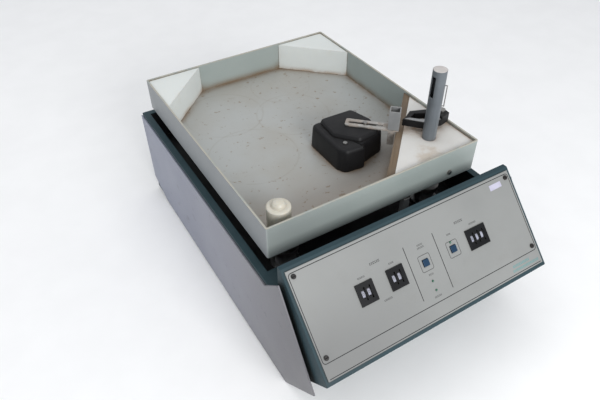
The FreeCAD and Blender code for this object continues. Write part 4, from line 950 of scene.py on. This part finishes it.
panel_ends = (on_panel(0, 0), on_panel(0, 131))
print("panel in mm, from and to:", [[round(v / MM, 1) for v in end] for end in panel_ends])

# %% [markdown]
# ## Printed lines
# Thin black ink frames the panel, divides it in three and rings the two buttons. A line is a
# narrow strip; a rounded frame is a loop of strips that follow its corners. The ink stands a
# few hundredths of a millimetre proud, as screen print does. The small words beside the
# controls are reduced to rows of short dashes, so that no real lettering is copied.

# %% Printed lines
CLEAN_INK = {
    "roughness": 0.5,
    "edge_radius": 0.0001,
    "grime_amount": 0.0,
    "dust_amount": 0.0,
    "wear_amount": 0.0,
}
ink, *_ = coat(
    "panel ink",
    (0.012, 0.012, 0.013),
    (0.020, 0.020, 0.021),
    worn=(0.03, 0.03, 0.03),
    reflection=0.2,
    **CLEAN_INK,
)
grey_ink, *_ = coat(
    "grey ink", (0.030, 0.030, 0.030), (0.050, 0.050, 0.050), worn=(0.1, 0.1, 0.1), **CLEAN_INK
)
teal_ink, *_ = coat(
    "teal ink", (0.05, 0.24, 0.24), (0.07, 0.30, 0.30), worn=(0.1, 0.3, 0.3), **CLEAN_INK
)


def strip(start, end, width):
    """The outline of a straight line between two panel points."""
    (x1, y1), (x2, y2) = start, end
    length = math.hypot(x2 - x1, y2 - y1)
    side_x, side_y = -(y2 - y1) / length * width / 2, (x2 - x1) / length * width / 2
    return [
        (x1 - side_x, y1 - side_y),
        (x2 - side_x, y2 - side_y),
        (x2 + side_x, y2 + side_y),
        (x1 + side_x, y1 + side_y),
    ]


def rounded_frame(left, top, right, bottom, radius, width):
    """Strips that follow a rectangle with rounded corners."""
    points = []
    for centre_x, centre_y, start in (
        (right - radius, top + radius, -90),
        (right - radius, bottom - radius, 0),
        (left + radius, bottom - radius, 90),
        (left + radius, top + radius, 180),
    ):
        for step in range(7):
            angle = math.radians(start + step * 15)
            points.append((centre_x + radius * math.cos(angle), centre_y + radius * math.sin(angle)))
    return [strip(points[i], points[(i + 1) % len(points)], width) for i in range(len(points))]


LINE = 0.9
LINE_PROUD, MARK_PROUD, LABEL_PROUD = 0.05, 0.04, 0.12
lines = rounded_frame(-168.6, 3.5, 168.3, 111.6, 4, LINE)
lines.append(strip((-168, 129), (168, 129), LINE))
lines.append(strip((-20.8, 32.3), (-20.8, 102), LINE))
lines.append(strip((25, 32), (25, 104), LINE))
slabs("panel_lines", lines, LINE_PROUD, ink)
RING_HALF_X, RING_HALF_Y, RING_CORNER, RING_LINE = 8.7, 10.2, 2.2, 0.7
button_rings = []
for right, down in ((1.6, 61.2), (46.3, 61.1)):
    button_rings += rounded_frame(
        right - RING_HALF_X,
        down - RING_HALF_Y,
        right + RING_HALF_X,
        down + RING_HALF_Y,
        RING_CORNER,
        RING_LINE,
    )
slabs("button_frames", button_rings, LINE_PROUD, grey_ink)

random.seed(7)


def bar(left, top, width, height):
    """The outline of an upright rectangle on the panel."""
    right, bottom = left + width, top + height
    return [(left, top), (right, top), (right, bottom), (left, bottom)]


def dashes(middle, down, length, height):
    """A row of short marks in place of a printed word: two bars joined by a stem."""
    row, left = [], middle - length / 2
    top, bottom = down - height / 2, down + height / 2
    thick, stem, gap = height * 0.28, height * 0.2, height * 0.32
    while left < middle + length / 2 - height * 0.3:
        width = height * random.choice((0.45, 0.6, 0.75))
        row.append(bar(left, top, width, thick))
        row.append(bar(left, bottom - thick, width, thick))
        row.append(bar(left, top, stem, height))
        left += width + gap
    return row


marks = []
for middle, down, length, height in (
    (-86.7, 42.4, 10, 2.0),
    (-42.8, 42.4, 8, 2.0),
    (87.4, 42.4, 12, 2.0),
    (47, 42.3, 6, 2.0),
    (-64, 33, 13, 2.8),
    (67, 33, 12, 2.8),
    (-64, 79.4, 11, 2.0),
    (2.8, 37.9, 9, 1.9),
    (2.8, 41.5, 11, 1.9),
    (2.8, 76.9, 7, 2.0),
    (1.2, 104.6, 11, 2.0),
):
    marks += dashes(middle, down, length, height)
slabs("panel_marks", marks, MARK_PROUD, grey_ink)
teal_marks = dashes(136, 118.6, 28, 2.8) + dashes(143, 124.2, 46, 2.8)
slabs("teal_marks", teal_marks, MARK_PROUD, teal_ink)

label_film, *_ = coat(
    "blank label",
    (0.42, 0.41, 0.52),
    (0.48, 0.47, 0.58),
    worn=(0.5, 0.5, 0.6),
    roughness=0.4,
    patch=90,
    edge_radius=0.0002,
    grime_amount=0.0,
)
label_outline = [(133, 9.4), (153, 9.0), (153.2, 16.3), (133.2, 16.7)]
slabs("blank_label", [label_outline], LABEL_PROUD, label_film)
print("panel marks:", len(marks) + len(teal_marks))

# %% [markdown]
# ## Figures on the preset wheels
# Each wheel carries the figures 0 to 9 in black on a white band, and one of them shows in its
# window. The band is a thin sleeve. A figure is a text object turned into a mesh and bent round
# the sleeve: its height becomes an angle and its width stays along the axle.

# %% Figures on the preset wheels
band_white, *_ = coat(
    "figure band",
    (0.30, 0.31, 0.38),
    (0.37, 0.38, 0.45),
    worn=(0.3, 0.3, 0.35),
    roughness=0.45,
    patch=120,
    edge_radius=0.0001,
    reach=0.002,
)
figure_ink, *_ = coat(
    "figure ink",
    (0.02, 0.02, 0.02),
    (0.03, 0.03, 0.03),
    worn=(0.05, 0.05, 0.05),
    edge_radius=0.0001,
    grime_amount=0.0,
)
FIGURE_HEIGHT = 5.0 * MM
BAND_RADIUS, BAND_HALF, BAND_STEPS = 9.2 * MM, 1.85 * MM, 72
BAND_SECTION = [(-1, 0.01 * MM), (-1, 0.06 * MM), (1, 0.06 * MM), (1, 0.01 * MM)]
figure_meshes = []
for figure in range(10):
    text = bpy.data.curves.new(f"figure_{figure}", "FONT")
    text.body = str(figure)
    text.size = FIGURE_HEIGHT
    text.align_x, text.align_y = "CENTER", "CENTER"
    text.resolution_u = 3
    holder = bpy.data.objects.new(f"figure_{figure}", text)
    scene.collection.objects.link(holder)
    bpy.context.view_layer.update()
    settled = holder.evaluated_get(bpy.context.evaluated_depsgraph_get())
    flat = bpy.data.meshes.new_from_object(settled)
    points = [v.co.copy() for v in flat.vertices]
    figure_meshes.append((points, [tuple(p.vertices) for p in flat.polygons]))
    bpy.data.objects.remove(holder)
    bpy.data.meshes.remove(flat)

shown_figures = dict(zip(sorted(wheel_names), (0, 0, 0, 0, 0, 1, 1)))
bodies = frame["record"]["behaviour"]["bodies"]
for name in sorted(wheel_names):
    low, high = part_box(name)
    body = next(b for b, members in bodies.items() if name in members)
    axle = Vector((0, (low.y + high.y) / 2, (low.z + high.z) / 2))
    middle = low.x + 2.0 * MM

    def on_wheel(across, angle, radius):
        """A point by place along the axle, angle from the outward direction, and radius."""
        out = panel_out * math.cos(angle) - down_slope * math.sin(angle)
        return axle + Vector((across, 0, 0)) + out * radius

    shape = bmesh.new()
    rows = []
    for step in range(BAND_STEPS):
        angle = math.radians(step * 360 / BAND_STEPS)
        row = []
        for side, lift in BAND_SECTION:
            point = on_wheel(middle + side * BAND_HALF, angle, BAND_RADIUS + lift)
            row.append(shape.verts.new(point))
        rows.append(row)
    for step in range(BAND_STEPS):
        here, there = rows[step], rows[(step + 1) % BAND_STEPS]
        for k in range(4):
            shape.faces.new((here[k], here[(k + 1) % 4], there[(k + 1) % 4], there[k]))
    bmesh.ops.recalc_face_normals(shape, faces=shape.faces)
    band = name + "_band"
    finished_piece(band, to_mesh(shape, band), body, band_white)

    shape = bmesh.new()
    for figure in range(10):
        turn = math.radians(36 * (figure - shown_figures[name]))
        points, faces = figure_meshes[figure]
        verts = []
        for p in points:
            point = on_wheel(middle + p.x, turn + p.y / BAND_RADIUS, BAND_RADIUS + 0.10 * MM)
            verts.append(shape.verts.new(point))
        for face in faces:
            shape.faces.new([verts[i] for i in face])
    figures = name + "_figures"
    finished_piece(figures, to_mesh(shape, figures), body, figure_ink)
print("figures on", len(wheel_names), "wheels")

# %% [markdown]
# ## Softer head and lid
# The solid model's sampling head has sharp corners, but the real moulding is rounded all over.
# Its outline is drawn again from the same corners, each corner replaced by a small arc, and the
# walls lean in and roll over at the top. These pieces stand for the solid ones.

# %% Softer head and lid
def soften(outline, radius, steps=6):
    """Replaces each corner of an outline by an arc of about the given radius."""
    result, count = [], len(outline)
    for i in range(count):
        before, here, after = (Vector(outline[(i + k) % count]) for k in (-1, 0, 1))
        into, out = (here - before).normalized(), (after - here).normalized()
        wanted = radius * math.tan(into.angle(out) / 2)
        cut = min(wanted, 0.45 * (here - before).length, 0.45 * (after - here).length)
        start, end = here - into * cut, here + out * cut
        for step in range(steps + 1):
            t = step / steps
            result.append((1 - t) ** 2 * start + 2 * t * (1 - t) * here + t**2 * end)
    return result


def inset(outline, amount):
    """Moves an outline inwards by an amount, corner by corner."""
    result, count = [], len(outline)
    for i in range(count):
        before, here, after = outline[i - 1], outline[i], outline[(i + 1) % count]
        along = (after - before).normalized()
        result.append(here + Vector((-along.y, along.x)) * amount)
    return result


def moulding(name, outline, profile, origin, replaces):
    """A closed moulding: rings of the outline at heights and insets given by the profile."""
    area = sum(a.x * b.y - b.x * a.y for a, b in zip(outline, outline[1:] + outline[:1]))
    inward = 1 if area > 0 else -1
    shape = bmesh.new()
    rings = []
    for height, amount in profile:
        ring = []
        for p in inset(outline, amount * inward):
            point = (origin.x + p.x * MM, origin.y + p.y * MM, origin.z + height * MM)
            ring.append(shape.verts.new(point))
        rings.append(ring)
    for lower, upper in zip(rings, rings[1:]):
        for i in range(len(lower)):
            j = (i + 1) % len(lower)
            shape.faces.new((lower[i], lower[j], upper[j], upper[i]))
    shape.faces.new(rings[0][::-1])
    shape.faces.new(rings[-1])
    bmesh.ops.recalc_face_normals(shape, faces=shape.faces)
    for face in shape.faces:
        face.smooth = True
    made = finished_piece(name, to_mesh(shape, name), "tray", black)
    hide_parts(replaces)


head_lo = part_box("head_housing")[0]
HEAD = [(1.5, 89), (1.5, 16), (8, 3), (39, 0), (42, 8), (85, 20), (87, 43), (80, 87)]
head_outline = soften([Vector(p) for p in HEAD], 11)
head_origin = Vector((head_lo.x - HEAD[0][0] * MM, head_lo.y, head_lo.z))
moulding(
    "head_moulding",
    head_outline,
    [(0, 0.2), (0.6, 0), (6, 0.1), (20, 0.8), (29, 1.4), (33, 2.2), (35.2, 4.2), (36, 6.5)],
    head_origin,
    "head_housing",
)
LID = [(15, 84), (12, 42), (37, 12), (72, 15), (80, 46), (70, 82)]
lid_origin = Vector((head_origin.x, head_origin.y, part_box("head_lid")[0].z))
moulding(
    "lid_moulding",
    soften([Vector(p) for p in LID], 8),
    [(0, 0), (1.2, 0), (2.0, 0.3), (5.4, 1.6), (6.3, 2.6), (6.6, 4.2)],
    lid_origin,
    "head_lid",
)
print("head and lid softened")

# %% [markdown]
# ## Post top
# The tube is closed with a pale, slightly domed plug. It is a short turned disc: rings at a few
# radii, each a little lower than the last, so that its edge catches the light.

# %% Post top
plug_white, *_ = coat(
    "pale plug",
    (0.50, 0.47, 0.45),
    (0.58, 0.55, 0.53),
    worn=(0.6, 0.58, 0.55),
    roughness=0.6,
    grain_scale=600,
    patch=150,
    bump=0.08,
    edge_radius=0.0004,
)
PLUG_SIDES = 48
PLUG_PROFILE = [(9.2, 0.02), (9.1, 0.25), (8.6, 0.45), (6, 0.55), (2, 0.6)]
post_lo, post_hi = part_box("round_post")
post_x, post_y = (post_lo.x + post_hi.x) / 2, (post_lo.y + post_hi.y) / 2
shape = bmesh.new()
rings = []
for radius, height in PLUG_PROFILE:
    ring = []
    for i in range(PLUG_SIDES):
        angle = math.tau * i / PLUG_SIDES
        x = post_x + radius * MM * math.cos(angle)
        y = post_y + radius * MM * math.sin(angle)
        ring.append(shape.verts.new((x, y, post_hi.z + height * MM)))
    rings.append(ring)
for lower, upper in zip(rings, rings[1:]):
    for i in range(PLUG_SIDES):
        j = (i + 1) % PLUG_SIDES
        shape.faces.new((lower[i], lower[j], upper[j], upper[i]))
shape.faces.new(rings[-1])
shape.faces.new(rings[0][::-1])
for face in shape.faces:
    face.smooth = True
finished_piece("post_plug", to_mesh(shape, "post_plug"), "tray", plug_white)
print("post top at", round(post_hi.z / MM, 1), "mm")

# %% [markdown]
# ## A check and the end
# Every surface that shows should carry a finish from this file; the last cell prints the model's nodes
# whose finish is still plain.

# %% Check the finishes
PLAIN_SIZE = 5
plain = []
for name, made in nodes.items():
    finishes = [h.material for h in made.material_slots if h.material]
    if any(len(finish.node_tree.nodes) < PLAIN_SIZE for finish in finishes):
        plain.append(name)
print("nodes still plain:", plain)
